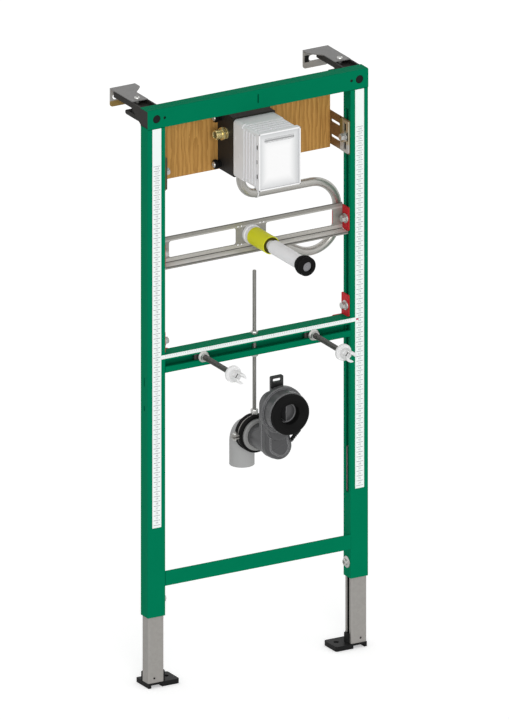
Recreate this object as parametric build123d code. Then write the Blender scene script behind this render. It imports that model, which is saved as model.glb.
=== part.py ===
from build123d import *
from math import acos, asin, cos, degrees, radians, sin
import os

# Installation frame for a wall hung urinal: a green steel frame on two telescopic legs, held to the wall
# by two brackets, with a flush valve box, flush pipe, inlet connector, fixing studs and siphon.
# Working frame: X across with 0 on the middle plane, Y towards the wall with 0 on the frame's front,
# Z up from the floor. The shift at the end puts the origin on the left wall bracket's rear face.
# A drop is measured down from the frame's top, a reach out in front of the frame's front plane.

# Frame
frame_width = 500.0
legs_out = 148.0
frame_height = 1060.0
profile_width = 40.0
profile_depth = 30.0
profile_wall = 2.0
profile_radius = 2.2
rail_height = 40.0
upright_slot_width = 12.0
upright_slot_start = 177.0
upright_slot_end = 41.0
side_slot_width = 4.0
side_slot_lengths = (18.0, 12.0)
side_slot_drops = (570.0, 625.0)

# Rails between the uprights
mounting_rail_height = 39.5
mounting_rail_drop = 554.0
mounting_slot_height = 14.0
mounting_slot_centre = 20.0
mounting_lip_depth = 5.0
bottom_rail_height = 30.5
bottom_rail_thickness = 3.0
bottom_rail_rise = 61.5

# Top rail details
rail_plug_diameter = 17.0
rail_plug_drop = 19.5
rail_plug_dish = 0.2
rail_plug_chamfer = 0.8
rail_pin_hole_diameter = 6.0
rail_pin_hole_offset = 18.0
centre_mark_width = 2.5
centre_mark_length = 18.5
centre_mark_drop = 18.0

# Legs
leg_width = 35.0
leg_depth = 25.0
leg_wall = 1.8
leg_radius = 2.5
leg_slot_width = 10.0
leg_overlap = 269.0
leg_pin_hole_diameter = 4.5
leg_pin_hole_offset = 4.0
leg_pin_hole_rise = 9.5
leg_screw_rise = 31.0
leg_washer_diameter = 24.0
leg_washer_thickness = 1.8
leg_washer_dish = 0.7
leg_nut_diameter = 15.0
leg_nut_height = 5.7
leg_nut_chamfer = 2.5
leg_plate_size = 18.0
leg_plate_thickness = 5.0

# Feet
foot_length = 70.0
foot_depth = 48.0
foot_thickness = 10.0
foot_lip = 1.0
foot_corner = 4.0
foot_arch_height = 6.0
foot_outer_pad = 6.0
foot_inner_pad = 39.5
foot_upstand_height = 19.0
foot_upstand_thickness = 3.5
foot_upstand_inset = 2.0
foot_tongue_height = 21.0
foot_tongue_thickness = 5.0
foot_tongue_width = 14.0
anchor_hole_diameter = 11.0
anchor_hole_inset = 15.5
anchor_hole_depth = 26.5

# Corner connectors
connector_width = 38.0
connector_wall = 3.5
connector_floor = 4.0
connector_length = 107.0
connector_underside = 13.0
gusset_reach = 38.0
gusset_sag = 10.0
latch_gap = 22.0
latch_length = 55.0
latch_thickness = 9.0
latch_width = 20.0
latch_drop = 30.0
latch_web_length = 8.0
latch_web_width = 6.0

# Wall brackets
bracket_width = 35.0
bracket_sheet = 2.0
bracket_front = 66.0
bracket_reach = 155.0
bracket_ear = 22.5
bracket_ear_depth = 20.0
bracket_ear_slope = 24.0
bracket_ear_radius = 6.0
bracket_flange_height = 39.0
bracket_screw_hole_diameter = 9.0
bracket_screw_inset = 12.0
anchor_slot_length = 39.0
anchor_slot_width = 12.0
anchor_slot_offset = 4.0
anchor_slot_rise = 20.0
origin_rise = 10.0

# Board and its brackets
board_thickness = 18.0
board_height = 149.0
board_drop = 181.0
board_front = 77.0
board_bracket_height = 70.0
board_bracket_drop = 174.0
board_bracket_sheet = 2.0
board_bracket_front = 3.0
board_bracket_flange = 30.0
board_slot_length = 34.0
board_slot_width = 6.0
board_slot_gap = 10.0
board_slot_spacing = 32.0
board_clamp_thickness = 3.0
board_clamp_height = 67.0
board_clamp_front = 2.0
board_clamp_width = 31.0
board_clamp_window_width = 9.0
board_clamp_window_height = 16.0
board_clamp_window_offset = 19.0

# Valve box
box_width = 95.0
box_height = 120.0
box_drop = 178.0
box_reach = 85.0
box_back = 16.0
box_rear_depth = 35.0
box_frame_depth = 11.0
box_wall = 2.5
box_waist = 2.0
box_radius = 8.0
box_chamfer = 1.5
box_frame_radius = 2.5
box_rib_count = 5
box_rib_height = 2.5
box_rib_margin = 8.0
clip_window_width = 5.0
clip_window_height = 12.0
clip_window_depth = 1.2
clip_window_spacing = 61.0
lid_recess = 2.0
lid_thickness = 6.0
grip_groove_width = 68.0
grip_groove_height = 7.0
grip_groove_depth = 2.5
grip_groove_drop = 18.0

# Valve housing behind the box
backing_wall = 3.0
backing_margin = 3.0
backing_radius = 3.0
grommet_inset = 13.5
grommet_depth = 67.0
grommet_diameter = 19.0
grommet_bore = 4.4
grommet_neck = 8.0
grommet_foot = 14.0
grommet_foot_length = 5.0
grommet_groove_length = 3.0
grommet_head_length = 6.0
grommet_bead = 10.0
grommet_bead_length = 3.0
grommet_rounding = 1.5
nipple_drop = 95.0
nipple_depth = 44.0
nipple_length = 26.0
nipple_diameter = 20.0
nipple_bore = 14.0
nipple_spigot = 8.0
nipple_shoulder = 1.5
nipple_flange_thickness = 3.0
nipple_relief_length = 3.0
nipple_chamfer = 1.0
nipple_hex_size = 24.0
nipple_hex_start = 6.0
nipple_hex_length = 6.0

# Flush pipe
pipe_diameter = 18.0
pipe_wall = 1.5
pipe_plane = 55.0
pipe_start = -8.0
pipe_entry = 6.0
pipe_drop = 237.0
pipe_small_bend = 36.0
pipe_elbow_bend = 25.0
pipe_loop_bend = 60.0
pipe_loop_centre = 150.5
pipe_loop_straight = 24.0
pipe_stub = 10.0
pipe_ring_diameter = 26.0
pipe_ring_length = 12.0
pipe_ring_gap = 2.0

# Inlet connector
inlet_drop = 309.0
collar_diameter = 40.0
collar_length = 16.0
collar_flange = 6.0
collar_step = 1.5
collar_pipe_depth = 10.0
sleeve_diameter = 36.6
sleeve_wall = 1.5
sleeve_length = 63.0
tube_diameter = 28.6
tube_wall = 2.3
tube_neck_diameter = 20.0
tube_neck_reach = 63.0
tube_reach = 175.0
seal_diameter = 40.0
seal_length = 21.0
seal_bore = 21.0
seal_overlap = 4.0
seal_rib = 1.5
seal_tip = 1.0
seal_chamfer = 3.0

# Traverse and clamps
traverse_drop = 335.0
traverse_height = 54.0
traverse_sheet = 2.0
traverse_reach = 25.0
window_height = 34.0
window_radius = 5.0
window_inner = 34.0
window_outer = 186.0
window_shift = 0.5
rivet_hole_diameter = 3.6
rivet_hole_rise = 19.0
rivet_hole_offsets = (21.0, 29.2)
clamp_sheet = 2.5
clamp_height = 49.0
clamp_front = 4.5
clamp_tail = 24.0
clamp_radius = 3.0
clamp_lift = 0.5
rail_clamp_height = 45.0
rail_clamp_hook = 35.5
bolt_across_flats = 13.0
bolt_head_height = 8.0
bolt_washer_diameter = 20.0
bolt_washer_thickness = 3.0
bolt_diameter = 8.0
bolt_plate_width = 20.0
bolt_plate_height = 22.0
bolt_plate_thickness = 5.0

# Studs
stud_spacing = 250.0
stud_diameter = 12.0
stud_reach = 130.0
stud_chamfer = 1.0
stud_tail = 6.0
stud_plate_width = 30.0
stud_plate_height = 26.0
stud_plate_thickness = 5.0
stud_nut_diameter = 23.0
stud_nut_length = 10.0
stud_nut_flange = 2.5
stud_nut_step = 3.0
stud_cap_diameter = 34.0
stud_cap_disc = 7.0
stud_cap_disc_reach = 121.0
stud_cap_hub = 17.0
stud_cap_hub_length = 6.0
stud_cap_tail = 22.0
stud_cap_reach = 152.0
stud_cap_slot_width = 9.0
stud_cap_slot_length = 20.0
stud_cap_slot_angle = 51.0

# Drain
drain_drop = 721.0
drain_plane = 64.0
drain_diameter = 50.0
drain_wall = 2.5
drain_leg = 80.0
drain_bend = 34.0
socket_diameter = 65.0
socket_lead = 8.0
socket_length = 32.0
socket_taper = 6.0
spigot_depth = 16.0
socket_lip_length = 8.0
socket_lip_chamfer = 2.0
clamp_ring_depth = 22.0
clamp_ring_edge = 4.0
clamp_rubber_thickness = 2.5
clamp_band_thickness = 2.0
clamp_rubber_lip = 1.0
clamp_ear_length = 13.0
clamp_ear_gap = 3.0
clamp_ear_thickness = 2.5
clamp_screw_offset = 7.0
clamp_screw_length = 18.0
clamp_screw_diameter = 5.0
rod_diameter = 8.0
rod_rise = 173.0
rod_nut_height = 6.5
rod_socket_nut_height = 11.0

# Trap
trap_inlet_drop = 639.0
chamber_radius = 25.6
chamber_back_reach = 45.0
chamber_rounding = 8.0
chamber_back_rounding = 4.0
neck_reach = 91.0
neck_height = 42.0
lobe_radius = 26.0
lobe_offset = 9.0
lobe_drop = 5.0
lobe_reach = 76.0
lobe_ridge_inset = 8.0
lobe_ridge_width = 3.0
lobe_ridge_height = 1.5
seam_reach = 60.0
seam_thickness = 3.0
seam_height = 1.5
bell_reach = 58.0
bell_inset = 1.2
trap_disc_radius = 48.0
trap_disc_reach = 97.0
trap_disc_thickness = 12.0
trap_rim = 1.5
trap_collar_radius = 43.5
trap_collar_reach = 121.0
trap_passage_radius = 19.0
trap_passage_end = 60.0
trap_gasket_diameter = 83.0
trap_gasket_reach = 132.0
trap_gasket_plug_diameter = 74.0
trap_gasket_plug_length = 9.0
trap_gasket_bore = 42.0
trap_gasket_funnel = 30.0
trap_gasket_funnel_depth = 6.0
trap_gasket_chamfer = 3.0
baffle_setback = 1.0
baffle_offset = 1.0
trap_lug_width = 28.0
trap_lug_offset = 3.0
trap_lug_rise = 67.0
trap_lug_root = 30.0
trap_lug_reach = 80.0
trap_lug_thickness = 6.0
trap_lug_radius = 3.0
trap_lug_slot_width = 19.0
trap_lug_slot_height = 7.0
trap_lug_slot_drop = 8.5
strut_thickness = 3.0
strut_width = 8.0
strut_rise = 40.0
strut_teeth = 3

# Fits
fit = 0.3
leg_fit = 0.5
rod_fit = 0.5
seat_fit = 0.1
thread_fit = 0.05

# Places worked out from the sizes
frame_top = legs_out + frame_height
rail_bottom = frame_top - rail_height
half_width = frame_width / 2
upright_centre = half_width - profile_width / 2
inner_face = half_width - profile_width
slot_line = profile_depth / 2
bracket_outer = upright_centre + bracket_width / 2
bracket_inner = upright_centre - bracket_width / 2
mounting_rail_level = frame_top - mounting_rail_drop
mounting_rail_top = mounting_rail_level + mounting_rail_height
stud_level = mounting_rail_level + mounting_slot_centre
traverse_level = frame_top - traverse_drop
traverse_web = profile_depth - traverse_sheet
board_level = frame_top - board_drop
board_bracket_level = frame_top - board_bracket_drop
board_bolt_level = board_bracket_level + board_bracket_height / 2
box_level = frame_top - box_drop
backing_level = box_level - backing_margin / 2
backing_top = box_level + box_height + backing_margin
grommet_levels = (backing_level + grommet_inset, backing_top - grommet_inset)
nipple_level = frame_top - nipple_drop
inlet_level = frame_top - inlet_drop
pipe_level = frame_top - pipe_drop
drain_axis_level = frame_top - drain_drop
trap_inlet_level = frame_top - trap_inlet_drop
socket_mouth = drain_plane - drain_bend + socket_lead - socket_length
clamp_ring_front = slot_line - clamp_ring_depth / 2
clamp_ring_radius = socket_diameter / 2 + clamp_rubber_thickness + clamp_band_thickness
origin = Vector(-upright_centre, bracket_reach, frame_top - bracket_flange_height + origin_rise)


def area(x0, x1, y0, y1, radius=0.0):
    """A rectangle by its edges, with rounded corners where a radius is given."""
    across = x1 - x0
    up = y1 - y0
    shape = RectangleRounded(across, up, radius) if radius > 0 else Rectangle(across, up)
    return Pos((x0 + x1) / 2, (y0 + y1) / 2) * shape


def disc(x, y, radius):
    """A circle by its centre."""
    return Pos(x, y) * Circle(radius)


def slot(centre_x, centre_y, length, width):
    """A round-ended slot along the sketch's first direction."""
    return Pos(centre_x, centre_y) * SlotOverall(length, width)


def along_x(sketch, x0, x1):
    """Extrude a sketch drawn in (Y, Z) from x0 to x1."""
    return extrude(Plane.YZ.offset(x0) * sketch, x1 - x0)


def along_y(sketch, y0, y1):
    """Extrude a sketch drawn in (X, Z) from y0 to y1."""
    return extrude(Plane.XZ.offset(-y1) * sketch, y1 - y0)


def along_z(sketch, z0, z1):
    """Extrude a sketch drawn in (X, Y) from z0 to z1."""
    return extrude(Plane.XY.offset(z0) * sketch, z1 - z0)


def spun(outline, x, y, z, direction):
    """Revolve an outline drawn in (radius, distance), the distance running along direction from (x, y, z)."""
    place = Plane(origin=(x, y, z), x_dir=(0, 0, 1) if abs(direction[2]) < 0.5 else (1, 0, 0), z_dir=direction)
    upright = Plane(origin=place.origin, x_dir=place.x_dir, z_dir=-place.y_dir)
    return revolve(upright * outline, Axis(place.origin, place.z_dir))


def turned(profile, x, y, z, direction):
    """A turned piece from the corners of its half section."""
    return spun(make_face(Polyline(*profile, close=True)), x, y, z, direction)


def tube_profile(outer_radius, inner_radius, start, end):
    """The half section of a plain ring for turned()."""
    return [(inner_radius, start), (outer_radius, start), (outer_radius, end), (inner_radius, end)]


def mirrored(shape):
    """The same piece on the right side."""
    return mirror(shape, about=Plane.YZ)


# Steel frame


def make_upright():
    """A rolled tube with a long clamping slot in its inner face and two short slots outside."""
    outer = area(-half_width, -inner_face, 0, profile_depth, profile_radius)
    hollow = area(
        -half_width + profile_wall, -inner_face - profile_wall, profile_wall, profile_depth - profile_wall
    )
    upright = along_z(outer - hollow, legs_out, rail_bottom)
    half_slot = upright_slot_width / 2
    long_slot = area(
        slot_line - half_slot, slot_line + half_slot, legs_out + upright_slot_start, rail_bottom - upright_slot_end
    )
    upright -= along_x(long_slot, -inner_face - profile_wall, -inner_face)
    half_side = side_slot_width / 2
    for length, drop in zip(side_slot_lengths, side_slot_drops):
        height = frame_top - drop
        short = area(slot_line - half_side, slot_line + half_side, height - length / 2, height + length / 2)
        upright -= along_x(short, -half_width, -half_width + profile_wall)
    screw_hole = disc(slot_line, legs_out + leg_screw_rise, bolt_diameter / 2 + fit)
    upright -= along_x(screw_hole, -inner_face - profile_wall, -inner_face)
    return upright


def make_top_rail():
    """A tube across the whole width, open at its ends for the corner connectors."""
    outer = area(0, profile_depth, rail_bottom, frame_top, profile_radius)
    hollow = area(
        profile_wall, profile_depth - profile_wall, rail_bottom + profile_wall, frame_top - profile_wall
    )
    rail = along_x(outer - hollow, -half_width, half_width)
    level = frame_top - rail_plug_drop
    for side in (-1, 1):
        plug_hole = disc(side * upright_centre, level, rail_plug_diameter / 2)
        pin_hole = disc(side * (upright_centre - rail_pin_hole_offset), level, rail_pin_hole_diameter / 2)
        rail -= along_y(plug_hole + pin_hole, 0, profile_wall)
    inner = upright_centre - connector_width / 2 - fit
    passage = area(inner, half_width, rail_bottom + profile_wall, frame_top - profile_wall)
    opening = along_y(passage, profile_depth - profile_wall, profile_depth)
    rail = rail - opening - mirrored(opening)
    mark_level = frame_top - centre_mark_drop
    mark = Pos(0, mark_level) * Rectangle(centre_mark_width, centre_mark_length)
    return rail - along_y(mark, 0, profile_wall)


def make_mounting_rail():
    """A lipped channel, open to the front, that takes the studs at any spacing."""
    outer = area(0, profile_depth, mounting_rail_level, mounting_rail_top, profile_radius)
    hollow = area(
        profile_wall,
        profile_depth - profile_wall,
        mounting_rail_level + profile_wall,
        mounting_rail_top - profile_wall,
    )
    half_slot = mounting_slot_height / 2
    lip_back = profile_wall + mounting_lip_depth
    mouth = area(0, lip_back, stud_level - half_slot, stud_level + half_slot)
    lips = area(
        profile_wall, lip_back, stud_level - half_slot - profile_wall, stud_level + half_slot + profile_wall
    )
    rail = along_x(outer - hollow + lips - mouth, -inner_face, inner_face)
    rod_hole = disc(0, slot_line, rod_diameter / 2 + rod_fit)
    return rail - along_z(rod_hole, mounting_rail_level, mounting_rail_top)


def make_bottom_rail():
    """A flat bar flush with the frame's front."""
    bottom = legs_out + bottom_rail_rise
    return along_y(area(-inner_face, inner_face, bottom, bottom + bottom_rail_height), 0, bottom_rail_thickness)


def make_rail_plug():
    """A round plug in the top rail's front wall, seated on the connector."""
    radius = rail_plug_diameter / 2 - fit
    rim = [
        (0, rail_plug_dish),
        (radius - rail_plug_chamfer, rail_plug_dish),
        (radius, rail_plug_dish + rail_plug_chamfer),
        (radius, profile_wall + fit),
        (0, profile_wall + fit),
    ]
    return turned(rim, -upright_centre, 0, frame_top - rail_plug_drop, (0, 1, 0))


# Legs


def make_leg():
    """A galvanised channel that slides inside the upright, its slot turned inwards."""
    x0 = -upright_centre - leg_width / 2
    x1 = -upright_centre + leg_width / 2
    y0 = slot_line - leg_depth / 2
    y1 = slot_line + leg_depth / 2
    outer = area(x0, x1, y0, y1, leg_radius)
    hollow = area(x0 + leg_wall, x1 - leg_wall, y0 + leg_wall, y1 - leg_wall)
    slit = area(x1 - leg_wall, x1, slot_line - leg_slot_width / 2, slot_line + leg_slot_width / 2)
    leg = along_z(outer - hollow - slit, foot_thickness, legs_out + leg_overlap)
    pin_hole = disc(-upright_centre - leg_pin_hole_offset, foot_thickness + leg_pin_hole_rise, leg_pin_hole_diameter / 2)
    return leg - along_y(pin_hole, y0, y0 + leg_wall)


def make_foot():
    """A cast foot: an arched plate with an anchor hole and upstands that locate the leg."""
    outer = -upright_centre - leg_width / 2
    inner = outer + foot_length
    front = slot_line - leg_depth / 2 - foot_lip
    side_outline = Polyline(
        (outer, 0),
        (outer + foot_outer_pad, 0),
        (outer + foot_outer_pad, foot_arch_height),
        (inner - foot_inner_pad, foot_arch_height),
        (inner - foot_inner_pad, 0),
        (inner, 0),
        (inner, foot_thickness),
        (outer, foot_thickness),
        close=True,
    )
    foot = along_y(make_face(side_outline), front, front + foot_depth)
    foot = fillet(foot.edges().filter_by(Axis.Z).group_by(Axis.X)[-1], foot_corner)
    root = foot_thickness / 2
    upstand_front = slot_line + leg_depth / 2 + fit
    upstand = area(
        outer,
        outer + leg_width - foot_upstand_inset,
        root,
        foot_thickness + foot_upstand_height,
        foot_upstand_inset,
    )
    foot += along_y(upstand, upstand_front, upstand_front + foot_upstand_thickness)
    tongue_outer = outer + leg_width + fit
    half_tongue = foot_tongue_width / 2
    tongue = area(
        slot_line - half_tongue,
        slot_line + half_tongue,
        root,
        foot_thickness + foot_tongue_height,
        foot_tongue_thickness / 2,
    )
    foot += along_x(tongue, tongue_outer, tongue_outer + foot_tongue_thickness)
    anchor = disc(inner - anchor_hole_inset, front + anchor_hole_depth, anchor_hole_diameter / 2)
    return foot - along_z(anchor, 0, foot_thickness)


def make_leg_screw():
    """The clamp screw with its wide washer outside the upright and its nut plate inside the leg."""
    level = legs_out + leg_screw_rise
    nut_radius = leg_nut_diameter / 2
    nut_end = leg_washer_thickness + leg_nut_height
    plate_start = profile_wall + leg_fit + leg_wall + fit
    plate_end = plate_start + leg_plate_thickness
    profile = [
        (0, -nut_end),
        (nut_radius - leg_nut_chamfer, -nut_end),
        (nut_radius, leg_nut_chamfer - nut_end),
        (nut_radius, -leg_washer_thickness - leg_washer_dish),
        (leg_washer_diameter / 2, -leg_washer_thickness),
        (leg_washer_diameter / 2, 0),
        (bolt_diameter / 2, 0),
        (bolt_diameter / 2, plate_end),
        (0, plate_end),
    ]
    screw = turned(profile, -inner_face, slot_line, level, (-1, 0, 0))
    plate = Pos(slot_line, level) * RectangleRounded(leg_plate_size, leg_plate_size, leg_nut_chamfer)
    return screw + along_x(plate, -inner_face - plate_end, -inner_face - plate_start)


# Corner connectors and wall brackets


def make_corner_connector():
    """A moulded corner: a block in the rail's end, an open-topped arm over a curved gusset, and a latch."""
    x0 = -upright_centre - connector_width / 2
    x1 = -upright_centre + connector_width / 2
    front = profile_wall + fit
    block_bottom = rail_bottom + profile_wall + fit
    block_top = frame_top - profile_wall - fit
    arm_top = frame_top - bracket_sheet
    arm_under = frame_top - connector_underside
    arm_end = profile_depth + connector_length
    gusset_end = profile_depth + gusset_reach
    gusset_middle = (profile_depth + gusset_reach * 0.4, block_bottom + gusset_sag)
    outline = (
        Line((front, block_top), (front, block_bottom))
        + Line((front, block_bottom), (profile_depth, block_bottom))
        + ThreePointArc((profile_depth, block_bottom), gusset_middle, (gusset_end, arm_under))
        + Line((gusset_end, arm_under), (arm_end, arm_under))
        + Line((arm_end, arm_under), (arm_end, arm_top))
        + Line((arm_end, arm_top), (profile_depth, arm_top))
        + Line((profile_depth, arm_top), (front, block_top))
    )
    body = along_x(make_face(outline), x0, x1)
    trough_front = profile_depth + connector_wall
    trough = area(x0 + connector_wall, x1 - connector_wall, trough_front, arm_end, connector_wall / 2)
    body -= along_z(trough, arm_under + connector_floor, frame_top)
    latch_front = profile_depth + latch_gap
    latch_centre = frame_top - latch_drop - latch_thickness / 2
    latch_side = slot(latch_front + latch_length / 2, latch_centre, latch_length, latch_thickness)
    body += along_x(latch_side, -upright_centre - latch_width / 2, -upright_centre + latch_width / 2)
    web = area(latch_front, latch_front + latch_web_length, latch_centre, arm_under + connector_floor / 2)
    return body + along_x(web, -upright_centre - latch_web_width / 2, -upright_centre + latch_web_width / 2)


def make_wall_bracket():
    """A bent sheet bracket: an arm on the connector, an ear inwards and a slotted flange on the wall."""
    ear = bracket_inner - bracket_ear
    outline = make_face(
        Polyline(
            (-bracket_outer, bracket_front),
            (-bracket_inner, bracket_front),
            (-bracket_inner, bracket_reach - bracket_ear_depth - bracket_ear_slope),
            (-ear, bracket_reach - bracket_ear_depth),
            (-ear, bracket_reach),
            (-bracket_outer, bracket_reach),
            close=True,
        )
    )
    bends = outline.vertices().group_by(Axis.Y)
    outline = fillet(bends[1] + bends[2], bracket_ear_radius)
    screw_hole = disc(-upright_centre, bracket_front + bracket_screw_inset, bracket_screw_hole_diameter / 2)
    top = along_z(outline - screw_hole, frame_top - bracket_sheet, frame_top)
    bottom = frame_top - bracket_flange_height
    flange = area(-bracket_outer, -ear, bottom, frame_top)
    flange = fillet(flange.vertices().group_by(Axis.Y)[0], bracket_ear_radius)
    anchor_centre = -(bracket_outer + ear) / 2 - anchor_slot_offset
    flange -= slot(anchor_centre, bottom + anchor_slot_rise, anchor_slot_length, anchor_slot_width)
    return top + along_y(flange, bracket_reach - bracket_sheet, bracket_reach)


# Board


def make_board():
    """The plywood board that backs the valve box."""
    half = inner_face - board_bracket_sheet - fit
    board = area(-half, half, board_level, board_level + board_height)
    return along_y(board, board_front, board_front + board_thickness)


def make_board_bracket():
    """A slotted side plate with a flange behind the board."""
    top = board_bracket_level + board_bracket_height
    back = board_front + board_thickness + board_bracket_sheet
    side = area(board_bracket_front, back, board_bracket_level, top)
    slot_centre = profile_depth + board_slot_gap + board_slot_length / 2
    for row in (-0.5, 0.5):
        side -= slot(slot_centre, board_bolt_level + row * board_slot_spacing, board_slot_length, board_slot_width)
    side -= disc(slot_line, board_bolt_level, bolt_diameter / 2 + fit)
    plate = along_x(side, -inner_face, -inner_face + board_bracket_sheet)
    flange = area(-inner_face, -inner_face + board_bracket_flange, board_bracket_level, top)
    return plate + along_y(flange, back - board_bracket_sheet, back)


def make_board_clamp():
    """The pressed clamp plate under the board bracket's bolt, with a window above and below it."""
    start = -inner_face + board_bracket_sheet
    half = board_clamp_height / 2
    plate = area(
        board_clamp_front,
        board_clamp_front + board_clamp_width,
        board_bolt_level - half,
        board_bolt_level + half,
        board_clamp_thickness,
    )
    for side in (-1, 1):
        window = Rectangle(board_clamp_window_width, board_clamp_window_height)
        plate -= Pos(slot_line, board_bolt_level + side * board_clamp_window_offset) * window
    plate -= disc(slot_line, board_bolt_level, bolt_diameter / 2 + fit)
    return along_x(plate, start, start + board_clamp_thickness)


def hex_bolt(x, level, grip):
    """A hex bolt with its washer, head inwards, its shank ending in a plate inside the upright's slot."""
    head = extrude(Plane.YZ * RegularPolygon(bolt_across_flats / 2, 6, major_radius=False), bolt_head_height)
    washer = extrude(Plane.YZ * Circle(bolt_washer_diameter / 2), bolt_washer_thickness)
    plate_start = grip + profile_wall + fit
    plate_end = plate_start + bolt_plate_thickness
    shank = extrude(Plane.YZ * Circle(bolt_diameter / 2), -plate_end)
    plate = Plane.YZ.offset(-plate_end) * RectangleRounded(bolt_plate_width, bolt_plate_height, clamp_radius)
    bolt = Pos(bolt_washer_thickness, 0, 0) * head + washer + shank + extrude(plate, bolt_plate_thickness)
    return Pos(x, slot_line, level) * bolt


# Valve box


def make_valve_backing():
    """The dark housing behind the box, open at the back, with a hole in its sides for each rubber mount."""
    half = box_width / 2
    shell = along_y(area(-half, half, backing_level, backing_top, backing_radius), box_back, board_front)
    cavity = area(-half + backing_wall, half - backing_wall, backing_level + backing_wall, backing_top - backing_wall)
    shell -= along_y(cavity, box_back + backing_wall, board_front)
    nipple_hole = disc(nipple_depth, nipple_level, nipple_diameter / 2 - nipple_shoulder)
    shell -= along_x(nipple_hole, -half, -half + backing_wall)
    for level in grommet_levels:
        shell -= along_x(disc(grommet_depth, level, grommet_neck / 2), -half, half)
    pipe_hole = disc(pipe_start, pipe_plane, pipe_diameter / 2 + fit)
    return shell - along_z(pipe_hole, backing_level, backing_level + backing_wall)


def make_grommets():
    """Four rubber mounts buttoned into the housing's sides, with a groove under the head for a fork."""
    bore = grommet_bore / 2
    neck = grommet_neck / 2 - seat_fit
    bead = grommet_bead / 2
    foot = grommet_foot / 2
    head = grommet_diameter / 2
    groove_start = grommet_foot_length
    groove_end = groove_start + grommet_groove_length
    length = groove_end + grommet_head_length
    bead_start = -backing_wall - grommet_bead_length
    profile = [
        (bore, bead_start),
        (neck, bead_start),
        (bead, -backing_wall),
        (neck, -backing_wall),
        (neck, 0),
        (foot, 0),
        (foot, groove_start),
        (bead, groove_start),
        (bead, groove_end),
        (head, groove_end),
        (head, length - grommet_rounding),
        (head - grommet_rounding, length),
        (bore, length),
    ]
    mounts = Part()
    for side in (-1, 1):
        for level in grommet_levels:
            mounts += turned(profile, side * box_width / 2, grommet_depth, level, (side, 0, 0))
    return mounts


def make_nipple():
    """The brass water inlet on the housing's left side."""
    radius = nipple_diameter / 2
    bore = nipple_bore / 2
    relief = nipple_flange_thickness + nipple_chamfer
    thread_start = relief + nipple_relief_length
    profile = [
        (bore, -nipple_spigot),
        (radius - nipple_shoulder - seat_fit, -nipple_spigot),
        (radius - nipple_shoulder - seat_fit, 0),
        (radius + nipple_shoulder, 0),
        (radius + nipple_shoulder, nipple_flange_thickness),
        (radius - nipple_shoulder, relief),
        (radius - nipple_shoulder, thread_start - nipple_chamfer),
        (radius, thread_start),
        (radius, nipple_length - nipple_chamfer),
        (radius - nipple_chamfer, nipple_length),
        (bore, nipple_length),
    ]
    body = turned(profile, -box_width / 2, nipple_depth, nipple_level, (-1, 0, 0))
    hexagon = RegularPolygon(nipple_hex_size / 2, 6, major_radius=False) - Circle(bore)
    start = -box_width / 2 - nipple_hex_start
    return body + along_x(Pos(nipple_depth, nipple_level) * hexagon, start - nipple_hex_length, start)


def make_valve_box():
    """The moulded box: smooth rear shell, ribbed waist and a raised front frame with clip windows."""
    half = box_width / 2
    top = box_level + box_height
    middle = box_level + box_height / 2
    waist_back = box_back - box_rear_depth
    waist_front = box_frame_depth - box_reach
    rear = along_y(area(-half, half, box_level, top, box_radius), waist_back, box_back)
    rear = chamfer(rear.faces().sort_by(Axis.Y)[-1].edges(), box_chamfer)
    waist_area = area(-half + box_waist, half - box_waist, box_level + box_waist, top - box_waist, box_radius / 2)
    waist = along_y(waist_area, waist_front, waist_back)
    frame = along_y(area(-half, half, box_level, top, box_frame_radius), -box_reach, waist_front)
    box = rear + waist + frame
    inset = box_wall + box_waist
    cavity = area(-half + inset, half - inset, box_level + inset, top - inset, box_frame_radius)
    box -= along_y(cavity, -box_reach, box_back - box_wall)
    lid_back = lid_recess + lid_thickness - box_reach
    mouth = area(-half + box_wall, half - box_wall, box_level + box_wall, top - box_wall, box_chamfer)
    box -= along_y(mouth, -box_reach, lid_back)
    pitch = (waist_back - waist_front) / box_rib_count
    across = Rectangle(box_width - 2 * box_rib_margin, box_rib_height)
    upright_rib = Rectangle(box_rib_height, box_height - 2 * box_rib_margin)
    for index in range(box_rib_count):
        rib_back = waist_front + pitch * (index + 1)
        for side in (-1, 1):
            low_rib = Pos(0, middle + side * (box_height - box_rib_height) / 2) * across
            side_rib = Pos(side * (box_width - box_rib_height) / 2, middle) * upright_rib
            box += along_y(low_rib, rib_back - pitch / 2, rib_back)
            box += along_y(side_rib, rib_back - pitch / 2, rib_back)
    window_back = waist_front - clip_window_depth
    for row in (-0.5, 0.5):
        level = middle + row * clip_window_spacing
        window = Pos(window_back - clip_window_width / 2, level) * Rectangle(clip_window_width, clip_window_height)
        opening = along_x(window, -half, -half + clip_window_depth)
        box = box - opening - mirrored(opening)
    return box


def make_box_lid():
    """The front panel, set back inside the frame, with a grip groove near its top."""
    half = box_width / 2 - box_wall - fit
    bottom = box_level + box_wall + fit
    top = box_level + box_height - box_wall - fit
    front = lid_recess - box_reach
    lid = along_y(area(-half, half, bottom, top, box_chamfer - fit), front, front + lid_thickness)
    level = box_level + box_height - grip_groove_drop
    return lid - along_y(slot(0, level, grip_groove_width, grip_groove_height), front, front + grip_groove_depth)


# Flush pipe and inlet connector


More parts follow.
